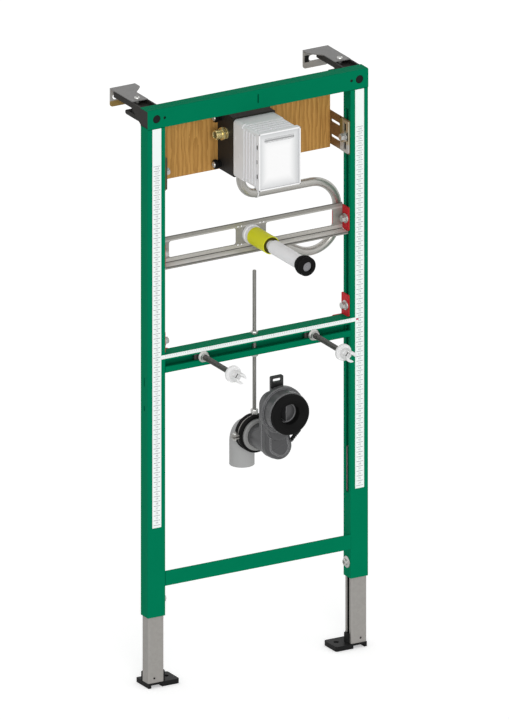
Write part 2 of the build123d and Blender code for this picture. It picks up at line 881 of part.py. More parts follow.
def pipe_route():
    """The pipe's centre line: down from the valve, right under the box, round the loop and up to the inlet."""
    side = Plane(origin=(0, pipe_plane, 0), x_dir=(1, 0, 0), z_dir=(0, -1, 0))
    bend_top = pipe_level + pipe_small_bend
    upper_level = pipe_level - pipe_loop_bend
    lower_level = upper_level - pipe_loop_straight
    climb = Vector(-pipe_loop_centre, inlet_level - lower_level)
    tilt = degrees(acos(pipe_loop_bend / climb.length))
    lean = degrees(asin(climb.Y / climb.length))
    leave = 180.0 - lean + tilt
    touch = Vector(
        pipe_loop_centre + pipe_loop_bend * cos(radians(leave)), lower_level + pipe_loop_bend * sin(radians(leave))
    )
    heading = (Vector(0, inlet_level) - touch).normalized()
    elbow_start = Vector(0, inlet_level) - heading * pipe_elbow_bend
    first = Line((pipe_start, backing_level + pipe_entry), (pipe_start, bend_top))
    turn = JernArc((pipe_start, bend_top), (0, -1), pipe_small_bend, 90)
    along = Line((pipe_start + pipe_small_bend, pipe_level), (pipe_loop_centre, pipe_level))
    upper_bend = JernArc((pipe_loop_centre, pipe_level), (1, 0), pipe_loop_bend, -90)
    down = Line(upper_bend @ 1, (pipe_loop_centre + pipe_loop_bend, lower_level))
    lower_bend = JernArc(down @ 1, (0, -1), pipe_loop_bend, leave - 360.0)
    rise = Line(lower_bend @ 1, (elbow_start.X, elbow_start.Y))
    flat = [side * edge for edge in (first, turn, along, upper_bend, down, lower_bend, rise)]
    elbow_end = Vector(0, pipe_plane - pipe_elbow_bend, inlet_level)
    elbow = TangentArc(
        Vector(elbow_start.X, pipe_plane, elbow_start.Y), elbow_end, tangent=Vector(heading.X, 0, heading.Y)
    )
    stub = Line(elbow_end, elbow_end - Vector(0, pipe_stub, 0))
    return Curve() + flat + [elbow, stub]


def make_flush_pipe():
    """The bent steel flush pipe with the ring of its union under the housing."""
    route = pipe_route()
    section_plane = Plane(origin=route @ 0, z_dir=route % 0)
    ring_top = backing_level - pipe_ring_gap
    ring = disc(pipe_start, pipe_plane, pipe_ring_diameter / 2)
    outer = sweep(section_plane * Circle(pipe_diameter / 2), path=route)
    outer += along_z(ring, ring_top - pipe_ring_length, ring_top)
    return outer - sweep(section_plane * Circle(pipe_diameter / 2 - pipe_wall), path=route)


def make_inlet_collar():
    """The white collar on the traverse that takes the pipe and holds the tube."""
    pipe_radius = pipe_diameter / 2 + seat_fit
    tube_radius = tube_neck_diameter / 2 + seat_fit
    profile = [
        (pipe_radius, 0),
        (collar_diameter / 2, 0),
        (collar_diameter / 2, collar_flange),
        (sleeve_diameter / 2, collar_flange + collar_step),
        (sleeve_diameter / 2, collar_length),
        (tube_radius, collar_length),
        (tube_radius, collar_pipe_depth),
        (pipe_radius, collar_pipe_depth),
    ]
    return turned(profile, 0, traverse_web, inlet_level, (0, -1, 0))


def make_inlet_sleeve():
    """The lime sleeve over the tube's rear end, open at its front."""
    profile = tube_profile(sleeve_diameter / 2, sleeve_diameter / 2 - sleeve_wall, 0, sleeve_length)
    return turned(profile, 0, traverse_web - collar_length, inlet_level, (0, -1, 0))


def make_inlet_tube():
    """The white tube that carries the water out to the ceramic: a narrow neck, then its full width."""
    wide = tube_diameter / 2
    neck = tube_neck_diameter / 2
    profile = [
        (neck - tube_wall, collar_pipe_depth - traverse_web),
        (neck, collar_pipe_depth - traverse_web),
        (neck, tube_neck_reach),
        (wide, tube_neck_reach),
        (wide, tube_reach),
        (wide - tube_wall, tube_reach),
        (wide - tube_wall, tube_neck_reach + tube_wall),
        (neck - tube_wall, tube_neck_reach + tube_wall),
    ]
    return turned(profile, 0, 0, inlet_level, (0, -1, 0))


def make_inlet_seal():
    """The stepped rubber seal on the tube's front end: two ribs, a tapered tip and a narrow mouth."""
    crest = seal_diameter / 2
    root = crest - seal_rib
    socket = tube_diameter / 2
    step = seal_length / 6
    tip = crest - seal_tip / 2
    profile = [
        (socket, -seal_overlap),
        (crest - seal_chamfer, -seal_overlap),
        (root, 0),
        (root, step),
        (crest, step + seal_rib),
        (crest, 2.5 * step),
        (root, 2.5 * step + seal_rib),
        (root, 3.5 * step),
        (tip, 3.5 * step + seal_rib),
        (tip, 5 * step),
        (crest - seal_chamfer, seal_length),
        (seal_bore / 2, seal_length),
        (seal_bore / 2, 0),
        (socket, 0),
    ]
    return turned(profile, 0, -tube_reach, inlet_level, (0, -1, 0))


# Traverse and clamps


def make_traverse():
    """A bent sheet cross bar with two windows, rivet holes and a forward flange along its foot."""
    half = inner_face - clamp_sheet - fit
    web = area(-half, half, traverse_level, traverse_level + traverse_height)
    middle = traverse_level + traverse_height / 2 - window_shift
    half_window = window_height / 2
    for side in (-1, 1):
        low, high = sorted((side * window_inner, side * window_outer))
        web -= area(low, high, middle - half_window, middle + half_window, window_radius)
        for row in (-1, 1):
            for offset in rivet_hole_offsets:
                web -= disc(side * offset, inlet_level + row * rivet_hole_rise, rivet_hole_diameter / 2)
    web -= disc(0, inlet_level, pipe_diameter / 2 + rod_fit)
    foot_plane = area(-half, half, profile_depth - traverse_reach, profile_depth)
    plate = along_y(web, traverse_web, profile_depth)
    return plate + along_z(foot_plane, traverse_level - traverse_sheet, traverse_level)


def angle_clamp(bottom, height, tail_bottom, tail_top):
    """A red angle clamp: one leg on the upright's inner face, its tail behind the cross bar."""
    leg = area(clamp_front, profile_depth + clamp_sheet, bottom, bottom + height, clamp_radius)
    leg += area(profile_depth, profile_depth + clamp_sheet, tail_bottom, bottom + height / 2)
    leg -= disc(slot_line, bottom + height / 2, bolt_diameter / 2 + fit)
    tail = area(-inner_face, -inner_face + clamp_tail, tail_bottom, tail_top, clamp_radius - fit)
    tail += area(-inner_face, -inner_face + clamp_sheet, tail_bottom, tail_top)
    plate = along_x(leg, -inner_face, -inner_face + clamp_sheet)
    return plate + along_y(tail, profile_depth, profile_depth + clamp_sheet)


def make_traverse_clamp():
    """The clamp that holds the traverse."""
    bottom = traverse_level + clamp_lift
    return angle_clamp(bottom, clamp_height, bottom, bottom + clamp_height)


def make_rail_clamp():
    """The clamp on the mounting rail: it bears on the rail's top and hooks down behind it."""
    bottom = mounting_rail_top + fit
    return angle_clamp(bottom, rail_clamp_height, mounting_rail_top - rail_clamp_hook, mounting_rail_top)


def make_clamp_bolts():
    """The three bolts on one side: board bracket, traverse clamp and rail clamp."""
    board_grip = board_bracket_sheet + board_clamp_thickness
    bolts = hex_bolt(-inner_face + board_grip, board_bolt_level, board_grip)
    clamp_levels = (
        traverse_level + clamp_lift + clamp_height / 2,
        mounting_rail_top + fit + rail_clamp_height / 2,
    )
    for level in clamp_levels:
        bolts += hex_bolt(-inner_face + clamp_sheet, level, clamp_sheet)
    return bolts


# Studs


def make_stud():
    """A threaded stud from the mounting rail's channel out to the ceramic, with its plate in the channel."""
    rear = profile_depth - profile_wall - stud_tail
    length = rear + stud_reach
    radius = stud_diameter / 2
    profile = [(0, 0), (radius, 0), (radius, length - stud_chamfer), (radius - stud_chamfer, length), (0, length)]
    rod = turned(profile, -stud_spacing / 2, rear, stud_level, (0, -1, 0))
    plate = Pos(-stud_spacing / 2, stud_level) * RectangleRounded(stud_plate_width, stud_plate_height, clamp_radius)
    start = profile_wall + mounting_lip_depth + fit
    return rod + along_y(plate, start, start + stud_plate_thickness)


def make_stud_nut():
    """The silver nut and dished washer against the rail's lips."""
    bore = stud_diameter / 2 + thread_fit
    flange = stud_nut_diameter / 2
    body = flange - stud_nut_step
    profile = [
        (bore, 0),
        (flange, 0),
        (flange, stud_nut_flange),
        (body, stud_nut_flange + stud_nut_step),
        (body, stud_nut_length),
        (bore, stud_nut_length),
    ]
    return turned(profile, -stud_spacing / 2, 0, stud_level, (0, -1, 0))


def make_stud_caps():
    """The translucent protection caps: a disc on a short hub and a forked tail, both turned the same way."""
    bore = stud_diameter / 2 + thread_fit
    disc_radius = stud_cap_diameter / 2
    tail_radius = stud_cap_tail / 2
    disc_back = stud_cap_disc_reach - stud_cap_disc
    profile = [
        (bore, disc_back - stud_cap_hub_length),
        (stud_cap_hub / 2, disc_back - stud_cap_hub_length),
        (stud_cap_hub / 2, disc_back),
        (disc_radius - stud_chamfer, disc_back),
        (disc_radius, disc_back + stud_chamfer),
        (disc_radius, stud_cap_disc_reach - stud_chamfer),
        (disc_radius - stud_chamfer, stud_cap_disc_reach),
        (tail_radius, stud_cap_disc_reach),
        (tail_radius, stud_cap_reach - stud_chamfer),
        (tail_radius - stud_chamfer, stud_cap_reach),
        (bore, stud_cap_reach),
    ]
    fork = Rectangle(stud_cap_slot_width, stud_cap_tail + 2 * stud_chamfer)
    fork = Pos(0, stud_level) * Rot(0, 0, stud_cap_slot_angle) * fork
    cap = turned(profile, 0, 0, stud_level, (0, -1, 0))
    cap -= along_y(fork, -stud_cap_reach, stud_cap_slot_length - stud_cap_reach)
    half_spacing = stud_spacing / 2
    return Pos(-half_spacing, 0, 0) * cap + Pos(half_spacing, 0, 0) * cap


# Drain


def make_drain_elbow():
    """The grey elbow: a wide socket to the front, a bend and a plain spigot down."""
    radius = drain_diameter / 2
    bottom = drain_axis_level - drain_leg
    bend_start = drain_axis_level - drain_bend
    path = (
        Line((drain_plane, bottom), (drain_plane, bend_start))
        + JernArc((drain_plane, bend_start), (0, 1), drain_bend, 90)
        + Line((drain_plane - drain_bend, drain_axis_level), (socket_mouth, drain_axis_level))
    )
    route = Plane.YZ * path
    ring_plane = Plane(origin=(0, drain_plane, bottom), z_dir=(0, 0, 1))
    outer = sweep(ring_plane * Circle(radius), path=route)
    inner = sweep(ring_plane * Circle(radius - drain_wall), path=route)
    wide = socket_diameter / 2
    flare = [
        (0, 0),
        (wide, 0),
        (wide, socket_length - socket_taper),
        (radius - drain_wall / 2, socket_length),
        (0, socket_length),
    ]
    elbow = outer + turned(flare, 0, socket_mouth, drain_axis_level, (0, 1, 0)) - inner
    bore = tube_profile(radius + fit, 0, 0, spigot_depth)
    return elbow - turned(bore, 0, socket_mouth, drain_axis_level, (0, 1, 0))


def make_socket_lip():
    """The light grey sealing ring in the socket's mouth."""
    outer = socket_diameter / 2
    inner = drain_diameter / 2 + seat_fit
    profile = [
        (inner, 0),
        (outer, 0),
        (outer, socket_lip_length - socket_lip_chamfer),
        (outer - socket_lip_chamfer, socket_lip_length),
        (inner, socket_lip_length),
    ]
    return turned(profile, 0, socket_mouth, drain_axis_level, (0, -1, 0))


def make_clamp_rubber():
    """The rubber liner with two raised edges, between the clamp and the socket."""
    inner = socket_diameter / 2
    low = inner + clamp_rubber_thickness
    high = low + clamp_band_thickness + clamp_rubber_lip
    groove_end = clamp_ring_depth - clamp_ring_edge
    profile = [
        (inner, 0),
        (high, 0),
        (high, clamp_ring_edge),
        (low, clamp_ring_edge),
        (low, groove_end),
        (high, groove_end),
        (high, clamp_ring_depth),
        (inner, clamp_ring_depth),
    ]
    return turned(profile, 0, clamp_ring_front, drain_axis_level, (0, 1, 0))


def make_pipe_clamp():
    """The clamp band in the liner's groove, with two screw ears."""
    start = clamp_ring_front + clamp_ring_edge + seat_fit
    end = clamp_ring_front + clamp_ring_depth - clamp_ring_edge - seat_fit
    inner = clamp_ring_radius - clamp_band_thickness
    band = turned(tube_profile(clamp_ring_radius, inner, start, end), 0, 0, drain_axis_level, (0, 1, 0))
    for side in (-1, 1):
        root = clamp_ring_radius - clamp_band_thickness / 2
        low, high = sorted((side * root, side * (clamp_ring_radius + clamp_ear_length)))
        for half in (-1, 1):
            near = drain_axis_level + half * clamp_ear_gap / 2
            bottom, top = sorted((near, near + half * clamp_ear_thickness))
            band += along_y(area(low, high, bottom, top), start, end)
        screw = disc(side * (clamp_ring_radius + clamp_screw_offset), slot_line, clamp_screw_diameter / 2)
        half_screw = clamp_screw_length / 2
        band += along_z(screw, drain_axis_level - half_screw, drain_axis_level + half_screw)
    return band


def make_drain_rod():
    """The threaded rod that hangs the pipe clamp from the mounting rail."""
    rod = disc(0, slot_line, rod_diameter / 2)
    return along_z(rod, drain_axis_level + clamp_ring_radius, mounting_rail_level + rod_rise)


def make_rod_nuts():
    """Hex nuts on the rod: above and below the rail, and a long one on the pipe clamp."""
    nut = Pos(0, slot_line) * (RegularPolygon(bolt_across_flats / 2, 6, major_radius=False) - Circle(rod_diameter / 2))
    low_nut = drain_axis_level + clamp_ring_radius + clamp_band_thickness
    nuts = along_z(nut, mounting_rail_top, mounting_rail_top + rod_nut_height)
    nuts += along_z(nut, mounting_rail_level - rod_nut_height, mounting_rail_level)
    return nuts + along_z(nut, low_nut, low_nut + rod_socket_nut_height)


# Trap


def hull_of(*circles):
    """The outline drawn round circles given as (x, z, radius)."""
    return make_hull([edge for x, z, radius in circles for edge in disc(x, z, radius).edges()])


def rounded_block(outline, front, back):
    """An extruded outline with a large rounding in front and a small one at the back."""
    block = along_y(outline, front, back)
    faces = block.faces().sort_by(Axis.Y)
    block = fillet(faces[0].edges(), chamber_rounding)
    return fillet(block.faces().sort_by(Axis.Y)[-1].edges(), chamber_back_rounding)


def make_trap_chamber():
    """The siphon's chamber: a neck under the inlet over a lobe that swings to the right, with its seam."""
    neck_bottom = trap_inlet_level - neck_height
    inlet_circle = (0, trap_inlet_level, chamber_radius)
    neck_circle = (0, neck_bottom, chamber_radius)
    drain_circle = (0, drain_axis_level, chamber_radius)
    lobe_circle = (lobe_offset, drain_axis_level - lobe_drop, lobe_radius)
    neck = rounded_block(hull_of(inlet_circle, neck_circle), -neck_reach, -chamber_back_reach)
    lobe_outline = hull_of(neck_circle, drain_circle, lobe_circle)
    lobe = rounded_block(lobe_outline, -lobe_reach, -chamber_back_reach)
    ridge_outer = offset(lobe_outline, -lobe_ridge_inset)
    ridge = ridge_outer - offset(ridge_outer, -lobe_ridge_width)
    whole = hull_of(inlet_circle, drain_circle, lobe_circle)
    seam = along_y(offset(whole, seam_height), -seam_reach, seam_thickness - seam_reach)
    return neck + lobe + seam + along_y(ridge, -lobe_reach - lobe_ridge_height, -lobe_reach + lobe_ridge_height)


def make_trap_bell():
    """The inlet bell: a flare from the chamber to the disc, and the collar that holds the gasket."""
    disc_back = trap_disc_reach - trap_disc_thickness
    rim = trap_disc_radius - trap_rim
    root = (chamber_radius - bell_inset, bell_reach)
    flare = TangentArc(root, (rim, disc_back), tangent=(0, 1))
    edge = Polyline(
        (rim, disc_back),
        (trap_disc_radius, disc_back + trap_rim),
        (trap_disc_radius, trap_disc_reach - trap_rim),
        (rim, trap_disc_reach),
        (trap_collar_radius, trap_disc_reach),
        (trap_collar_radius, trap_collar_reach - trap_rim),
        (trap_collar_radius - trap_rim, trap_collar_reach),
        (0, trap_collar_reach),
        (0, bell_reach),
        root,
    )
    return spun(make_face(flare + edge), 0, 0, trap_inlet_level, (0, -1, 0))


def make_trap_strut():
    """A toothed strut between the lobe's shoulder and the bell."""
    foot_level = drain_axis_level + strut_width
    slope = Vector(-strut_rise, strut_rise).normalized()
    across = Vector(-slope.Y, slope.X) * strut_width
    start = Vector(chamber_rounding - lobe_reach, foot_level)
    end = start + slope * strut_rise * 1.2
    strut = make_face(Polyline(start, end, end + across, start + across, close=True))
    tooth = strut_width / 2
    for index in range(strut_teeth):
        notch = start + across + slope * tooth * (2 * index + 3)
        strut -= Pos(notch.X, notch.Y) * Rot(0, 0, 45) * Rectangle(tooth, tooth)
    outer = lobe_offset + lobe_radius
    return along_x(strut, outer - strut_thickness, outer)


def make_trap_body():
    """The moulded siphon: chamber, bell, toothed strut, rear outlet, slotted lug and the inlet's partition."""
    body = make_trap_chamber() + make_trap_bell()
    outlet_end = socket_mouth + spigot_depth - fit
    outlet_radius = drain_diameter / 2
    outlet_start = -chamber_back_reach - chamber_back_rounding
    outlet = tube_profile(outlet_radius, outlet_radius - drain_wall, outlet_start, outlet_end)
    body += turned(outlet, 0, 0, drain_axis_level, (0, 1, 0))
    lug_top = trap_inlet_level + trap_lug_rise
    half_lug = trap_lug_width / 2
    lug = area(
        -trap_lug_offset - half_lug,
        half_lug - trap_lug_offset,
        trap_inlet_level + trap_lug_root,
        lug_top,
        trap_lug_radius,
    )
    lug_slot = RectangleRounded(trap_lug_slot_width, trap_lug_slot_height, trap_lug_radius / 2)
    lug -= Pos(-trap_lug_offset, lug_top - trap_lug_slot_drop) * lug_slot
    body += along_y(lug, -trap_lug_reach, trap_lug_thickness - trap_lug_reach)
    plug_radius = trap_gasket_plug_diameter / 2 + seat_fit
    plug_end = trap_collar_reach - trap_gasket_plug_length
    seat = tube_profile(plug_radius, 0, plug_end, trap_collar_reach)
    passage = tube_profile(trap_passage_radius, 0, trap_passage_end, trap_collar_reach)
    body -= turned(seat, 0, 0, trap_inlet_level, (0, -1, 0))
    body -= turned(passage, 0, 0, trap_inlet_level, (0, -1, 0))
    baffle_radius = trap_gasket_bore / 2 - fit
    half_disc = disc(0, trap_inlet_level, baffle_radius)
    half_disc &= Pos(baffle_radius - baffle_offset, trap_inlet_level) * Rectangle(2 * baffle_radius, 2 * baffle_radius)
    partition = along_y(half_disc, baffle_setback - plug_end, -trap_passage_end)
    return body + partition + make_trap_strut()


def make_trap_gasket():
    """The thick rubber gasket on the trap's inlet: a flange, a funnel mouth and a plug in the collar."""
    radius = trap_gasket_diameter / 2
    bore = trap_gasket_bore / 2
    plug = trap_gasket_plug_diameter / 2
    plug_end = trap_collar_reach - trap_gasket_plug_length
    profile = [
        (bore, plug_end),
        (plug, plug_end),
        (plug, trap_collar_reach),
        (radius, trap_collar_reach),
        (radius, trap_gasket_reach - trap_gasket_chamfer),
        (radius - trap_gasket_chamfer, trap_gasket_reach),
        (trap_gasket_funnel, trap_gasket_reach),
        (bore, trap_gasket_reach - trap_gasket_funnel_depth),
    ]
    return turned(profile, 0, 0, trap_inlet_level, (0, -1, 0))


pairs = {
    "upright": make_upright,
    "leg": make_leg,
    "foot": make_foot,
    "corner_connector": make_corner_connector,
    "wall_bracket": make_wall_bracket,
    "board_bracket": make_board_bracket,
    "stud": make_stud,
}

shared_pairs = {
    "rail_plugs": make_rail_plug,
    "leg_screws": make_leg_screw,
    "board_clamps": make_board_clamp,
    "traverse_clamps": make_traverse_clamp,
    "rail_clamps": make_rail_clamp,
    "clamp_bolts": make_clamp_bolts,
    "stud_nuts": make_stud_nut,
}

singles = {
    "top_rail": make_top_rail,
    "mounting_rail": make_mounting_rail,
    "bottom_rail": make_bottom_rail,
    "back_board": make_board,
    "valve_backing": make_valve_backing,
    "rubber_mounts": make_grommets,
    "water_inlet_nipple": make_nipple,
    "valve_box": make_valve_box,
    "valve_box_lid": make_box_lid,
    "flush_pipe": make_flush_pipe,
    "inlet_collar": make_inlet_collar,
    "inlet_sleeve": make_inlet_sleeve,
    "inlet_tube": make_inlet_tube,
    "inlet_seal": make_inlet_seal,
    "traverse": make_traverse,
    "stud_caps": make_stud_caps,
    "drain_elbow": make_drain_elbow,
    "socket_lip": make_socket_lip,
    "clamp_rubber": make_clamp_rubber,
    "pipe_clamp": make_pipe_clamp,
    "drain_rod": make_drain_rod,
    "rod_nuts": make_rod_nuts,
    "trap_body": make_trap_body,
    "trap_gasket": make_trap_gasket,
}

os.makedirs("parts", exist_ok=True)
pieces = {name: make() for name, make in singles.items()}
for name, make in pairs.items():
    left = make()
    pieces["left_" + name] = left
    pieces["right_" + name] = mirrored(left)
for name, make in shared_pairs.items():
    left = make()
    pieces[name] = Compound(left.solids() + mirrored(left).solids())
for name, piece in pieces.items():
    export_step(Pos(-origin.X, -origin.Y, -origin.Z) * piece, f"parts/{name}.step")
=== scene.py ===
"""Looks of the urinal installation frame: its finishes, printed scales, threads and small fasteners.

Sizes are in millimetres in the maker's frame: X across with 0 on the middle plane, Y towards the wall with 0
on the steel frame's front, Z up from the floor. TO_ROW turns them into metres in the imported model's frame.
"""

from __future__ import annotations

import logging
import math
from dataclasses import dataclass
from enum import Enum
from typing import Any, Mapping, Sequence

import bmesh
import bpy
from mathutils import Matrix, Vector

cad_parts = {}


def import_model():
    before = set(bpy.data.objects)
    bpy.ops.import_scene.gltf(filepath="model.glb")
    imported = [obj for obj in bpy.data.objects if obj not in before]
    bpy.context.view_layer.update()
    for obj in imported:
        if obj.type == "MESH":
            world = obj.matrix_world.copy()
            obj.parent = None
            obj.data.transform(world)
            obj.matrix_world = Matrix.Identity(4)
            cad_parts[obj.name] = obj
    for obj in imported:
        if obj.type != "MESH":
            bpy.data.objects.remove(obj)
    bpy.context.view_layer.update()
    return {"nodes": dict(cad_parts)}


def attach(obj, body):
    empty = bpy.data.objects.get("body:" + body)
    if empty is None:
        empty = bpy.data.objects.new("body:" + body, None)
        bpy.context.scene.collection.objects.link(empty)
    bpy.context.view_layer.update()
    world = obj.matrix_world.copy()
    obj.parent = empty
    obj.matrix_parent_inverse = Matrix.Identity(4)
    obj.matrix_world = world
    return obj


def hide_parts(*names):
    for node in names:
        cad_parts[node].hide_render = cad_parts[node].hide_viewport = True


log = logging.getLogger("installation_frame")

Tree = bpy.types.NodeTree
Socket = bpy.types.NodeSocket
Mesh = bpy.types.Mesh
Placed = tuple[Mesh, Matrix]
Point = tuple[float, float, float]
Outline = Sequence[tuple[Any, ...]]

MM = 0.001
FRAME_ORIGIN = Vector((-230.0, 155.0, 1179.0))
TO_ROW = Matrix.Scale(MM, 4) @ Matrix.Translation(-FRAME_ORIGIN)
TO_FRONT = Matrix.Rotation(math.radians(90), 4, "X")
BODY = "frame"
SIDES = (("left", -1), ("right", 1))
UP = (0, 0, 1)
FRONT = (0, -1, 0)
WHITE = (1.0, 1.0, 1.0, 1.0)
EDGE_SAMPLES = 4
LIT_EDGE_SAMPLES = 6
CREASE = math.radians(32.0)


def linear(code: str) -> tuple[float, float, float, float]:
    """Turn an sRGB hex colour into the linear one that nodes take.

    Args:
        code: The colour as #RRGGBB.

    Returns:
        Red, green, blue and an opaque alpha.
    """
    channels = [int(code[start : start + 2], 16) / 255 for start in (1, 3, 5)]
    plain = [c / 12.92 if c <= 0.04045 else ((c + 0.055) / 1.055) ** 2.4 for c in channels]
    return plain[0], plain[1], plain[2], 1.0


def add_node(
    tree: Tree,
    kind: str,
    settings: Mapping[str, Any] | None = None,
    inputs: Mapping[str | int, Any] | None = None,
) -> bpy.types.Node:
    """Add one node with its settings, its values and its links.

    Args:
        tree: The tree that the node goes into.
        kind: Blender's name for the node.
        settings: Properties of the node.
        inputs: Values or output sockets for its inputs, by name or number.

    Returns:
        The new node.
    """
    node = tree.nodes.new(kind)
    for name, value in (settings or {}).items():
        setattr(node, name, value)
    for key, value in (inputs or {}).items():
        socket = node.inputs[key]
        if isinstance(value, Socket):
            tree.links.new(value, socket)
        else:
            socket.default_value = value
    return node


def reckon(tree: Tree, operation: str, *values: float | Socket) -> Socket:
    """Do one step of arithmetic on numbers or sockets."""
    return add_node(tree, "ShaderNodeMath", {"operation": operation}, dict(enumerate(values))).outputs[0]


def blend(tree: Tree, factor: Socket, first: str | Socket, second: str | Socket) -> Socket:
    """Mix two colours, each a socket or a hex code."""
    low, high = (linear(tone) if isinstance(tone, str) else tone for tone in (first, second))
    return add_node(tree, "ShaderNodeMix", {"data_type": "RGBA"}, {0: factor, 6: low, 7: high}).outputs[2]


def remap(
    tree: Tree, value: Socket, start: float, end: float, low: float = 0.0, high: float = 1.0, way: str = "LINEAR"
) -> Socket:
    """Turn the values from start to end into those from low to high.

    Args:
        tree: The tree that the node goes into.
        value: The socket to turn.
        start: The value that becomes low.
        end: The value that becomes high.
        low: The first result.
        high: The last result.
        way: Blender's name for the curve between them.

    Returns:
        The socket with the result.
    """
    values = {"Value": value, "From Min": start, "From Max": end, "To Min": low, "To Max": high}
    return add_node(tree, "ShaderNodeMapRange", {"interpolation_type": way}, values).outputs["Result"]


def noise(tree: Tree, where: Socket, size: float, detail: float, stretch: Point | None = None) -> bpy.types.Node:
    """Add a cloudy noise.

    Args:
        tree: The material's tree.
        where: The object's coordinates in metres.
        size: The size of its grains in millimetres.
        detail: How many finer layers it has.
        stretch: Scales along the axes, where a small one draws the grains out into lines.

    Returns:
        The noise's node.
    """
    if stretch is not None:
        where = add_node(tree, "ShaderNodeMapping", inputs={"Vector": where, "Scale": stretch}).outputs[0]
    return add_node(tree, "ShaderNodeTexNoise", inputs={"Vector": where, "Scale": 1 / (size * MM), "Detail": detail})


def box_distance(tree: Tree, where: Socket, low: Point, high: Point) -> Socket:
    """Measure how far a point is from a box's middle, where 1 is the box's surface.

    Args:
        tree: The material's tree.
        where: The object's coordinates in metres.
        low: The box's lowest corner in the maker's frame.
        high: The box's highest corner in the maker's frame.

    Returns:
        The socket with the distance.
    """
    centre = TO_ROW @ ((Vector(low) + Vector(high)) / 2)
    scale = [2 / ((high[axis] - low[axis]) * MM) for axis in range(3)]
    shift = [-centre[axis] * scale[axis] for axis in range(3)]
    local = add_node(tree, "ShaderNodeMapping", inputs={"Vector": where, "Location": shift, "Scale": scale})
    away = add_node(tree, "ShaderNodeVectorMath", {"operation": "ABSOLUTE"}, {0: local.outputs[0]})
    parts = add_node(tree, "ShaderNodeSeparateXYZ", inputs={0: away.outputs[0]}).outputs
    return reckon(tree, "MAXIMUM", reckon(tree, "MAXIMUM", parts[0], parts[1]), parts[2])


def fresh_tree(owner: bpy.types.Material | bpy.types.World) -> Tree:
    """Give a material or a world an empty node tree."""
    owner.use_nodes = True
    owner.node_tree.nodes.clear()
    return owner.node_tree


@dataclass(frozen=True)
class Patch:
    """A region of a surface in another tone, between two corners in the maker's frame; some patches are the surface's
    own colour and some are painted light or shade.
    """

    tone: str
    low: Point
    high: Point


@dataclass(frozen=True)
class Finish:
    """A surface as it was made: two tones that drift into each other, its gloss and a fine relief.

    Sizes and depths are in millimetres. The edge is the rounding that the light sees on every sharp edge, and
    the painted edge highlight, where there is one, is a paler colour painted on the edges as a highlight.
    """

    name: str
    tone: str
    drift: str
    roughness: float
    metallic: float = 0.0
    drift_size: float = 60.0
    relief_size: float = 1.0
    relief_depth: float = 0.02
    gloss_spread: float = 0.05
    edge: float = 0.4
    shine: float = 0.2
    fixed: tuple[tuple[str, float], ...] = ()
    patches: tuple[Patch, ...] = ()
    painted_edge_highlight: str = ""
    edge_reach: float = 2.5

    def colour(self, tree: Tree, where: Socket) -> Socket:
        """Mix the two tones by a slow cloud."""
        return blend(tree, noise(tree, where, self.drift_size, 3.0).outputs[0], self.tone, self.drift)

    def relief(self, tree: Tree, where: Socket) -> Socket:
        """Give the fine relief as heights from 0 to 1, evenly grained unless a finish says otherwise."""
        return noise(tree, where, self.relief_size, 1.5).outputs[0]

    def gloss(self, tree: Tree, where: Socket) -> Socket:
        """Let the roughness wander a little round its value, as handling and moulding leave it."""
        cloud = noise(tree, where, 2.5 * self.drift_size, 2.0).outputs[0]
        return remap(tree, cloud, 0.3, 0.7, self.roughness - self.gloss_spread, self.roughness + self.gloss_spread)

    def paint_edge_highlights(self, tree: Tree, colour: Socket) -> Socket:
        """Paint a highlight on the moulding's edges: a paler colour where the rounded normal turns away from the true
        one.

        Args:
            tree: The material's tree.
            colour: The colour without them.

        Returns:
            The socket with the colour.
        """
        soft = add_node(tree, "ShaderNodeBevel", {"samples": LIT_EDGE_SAMPLES}, {"Radius": self.edge_reach * MM})
        true = add_node(tree, "ShaderNodeNewGeometry")
        normals = {0: soft.outputs["Normal"], 1: true.outputs["Normal"]}
        same = add_node(tree, "ShaderNodeVectorMath", {"operation": "DOT_PRODUCT"}, normals)
        return blend(tree, remap(tree, same.outputs["Value"], 0.99, 0.86, 0.0, 0.8), colour, self.painted_edge_highlight)

    def patched(self, tree: Tree, where: Socket, colour: Socket) -> Socket:
        """Lay the finish's painted edge highlight and its patches over its colour.

        Args:
            tree: The material's tree.
            where: The object's coordinates in metres.
            colour: The colour without them.

        Returns:
            The socket with the colour.
        """
        if self.painted_edge_highlight:
            colour = self.paint_edge_highlights(tree, colour)
        for patch in self.patches:
            inside = reckon(tree, "LESS_THAN", box_distance(tree, where, patch.low, patch.high), 1.0)
            colour = blend(tree, inside, colour, patch.tone)
        return colour

    def material(self) -> bpy.types.Material:
        """Build the finish's material once, and hand out the same one after that.

        Returns:
            The material.
        """
        known = bpy.data.materials.get(self.name)
        if known is not None:
            return known
        material = bpy.data.materials.new(self.name)
        tree = fresh_tree(material)
        where = add_node(tree, "ShaderNodeTexCoord").outputs["Object"]
        rounded = add_node(tree, "ShaderNodeBevel", {"samples": EDGE_SAMPLES}, {"Radius": self.edge * MM})
        bump = add_node(
            tree,
            "ShaderNodeBump",
            inputs={
                "Strength": 1.0,
                "Distance": self.relief_depth * MM,
                "Height": self.relief(tree, where),
                "Normal": rounded.outputs["Normal"],
            },
        )
        shader = add_node(
            tree,
            "ShaderNodeBsdfPrincipled",
            inputs={
                "Base Color": self.patched(tree, where, self.colour(tree, where)),
                "Roughness": self.gloss(tree, where),
                "Metallic": self.metallic,
                "Specular IOR Level": self.shine,
                "Normal": bump.outputs["Normal"],
                **dict(self.fixed),
            },
        )
        add_node(tree, "ShaderNodeOutputMaterial", inputs={"Surface": shader.outputs["BSDF"]})
        return material


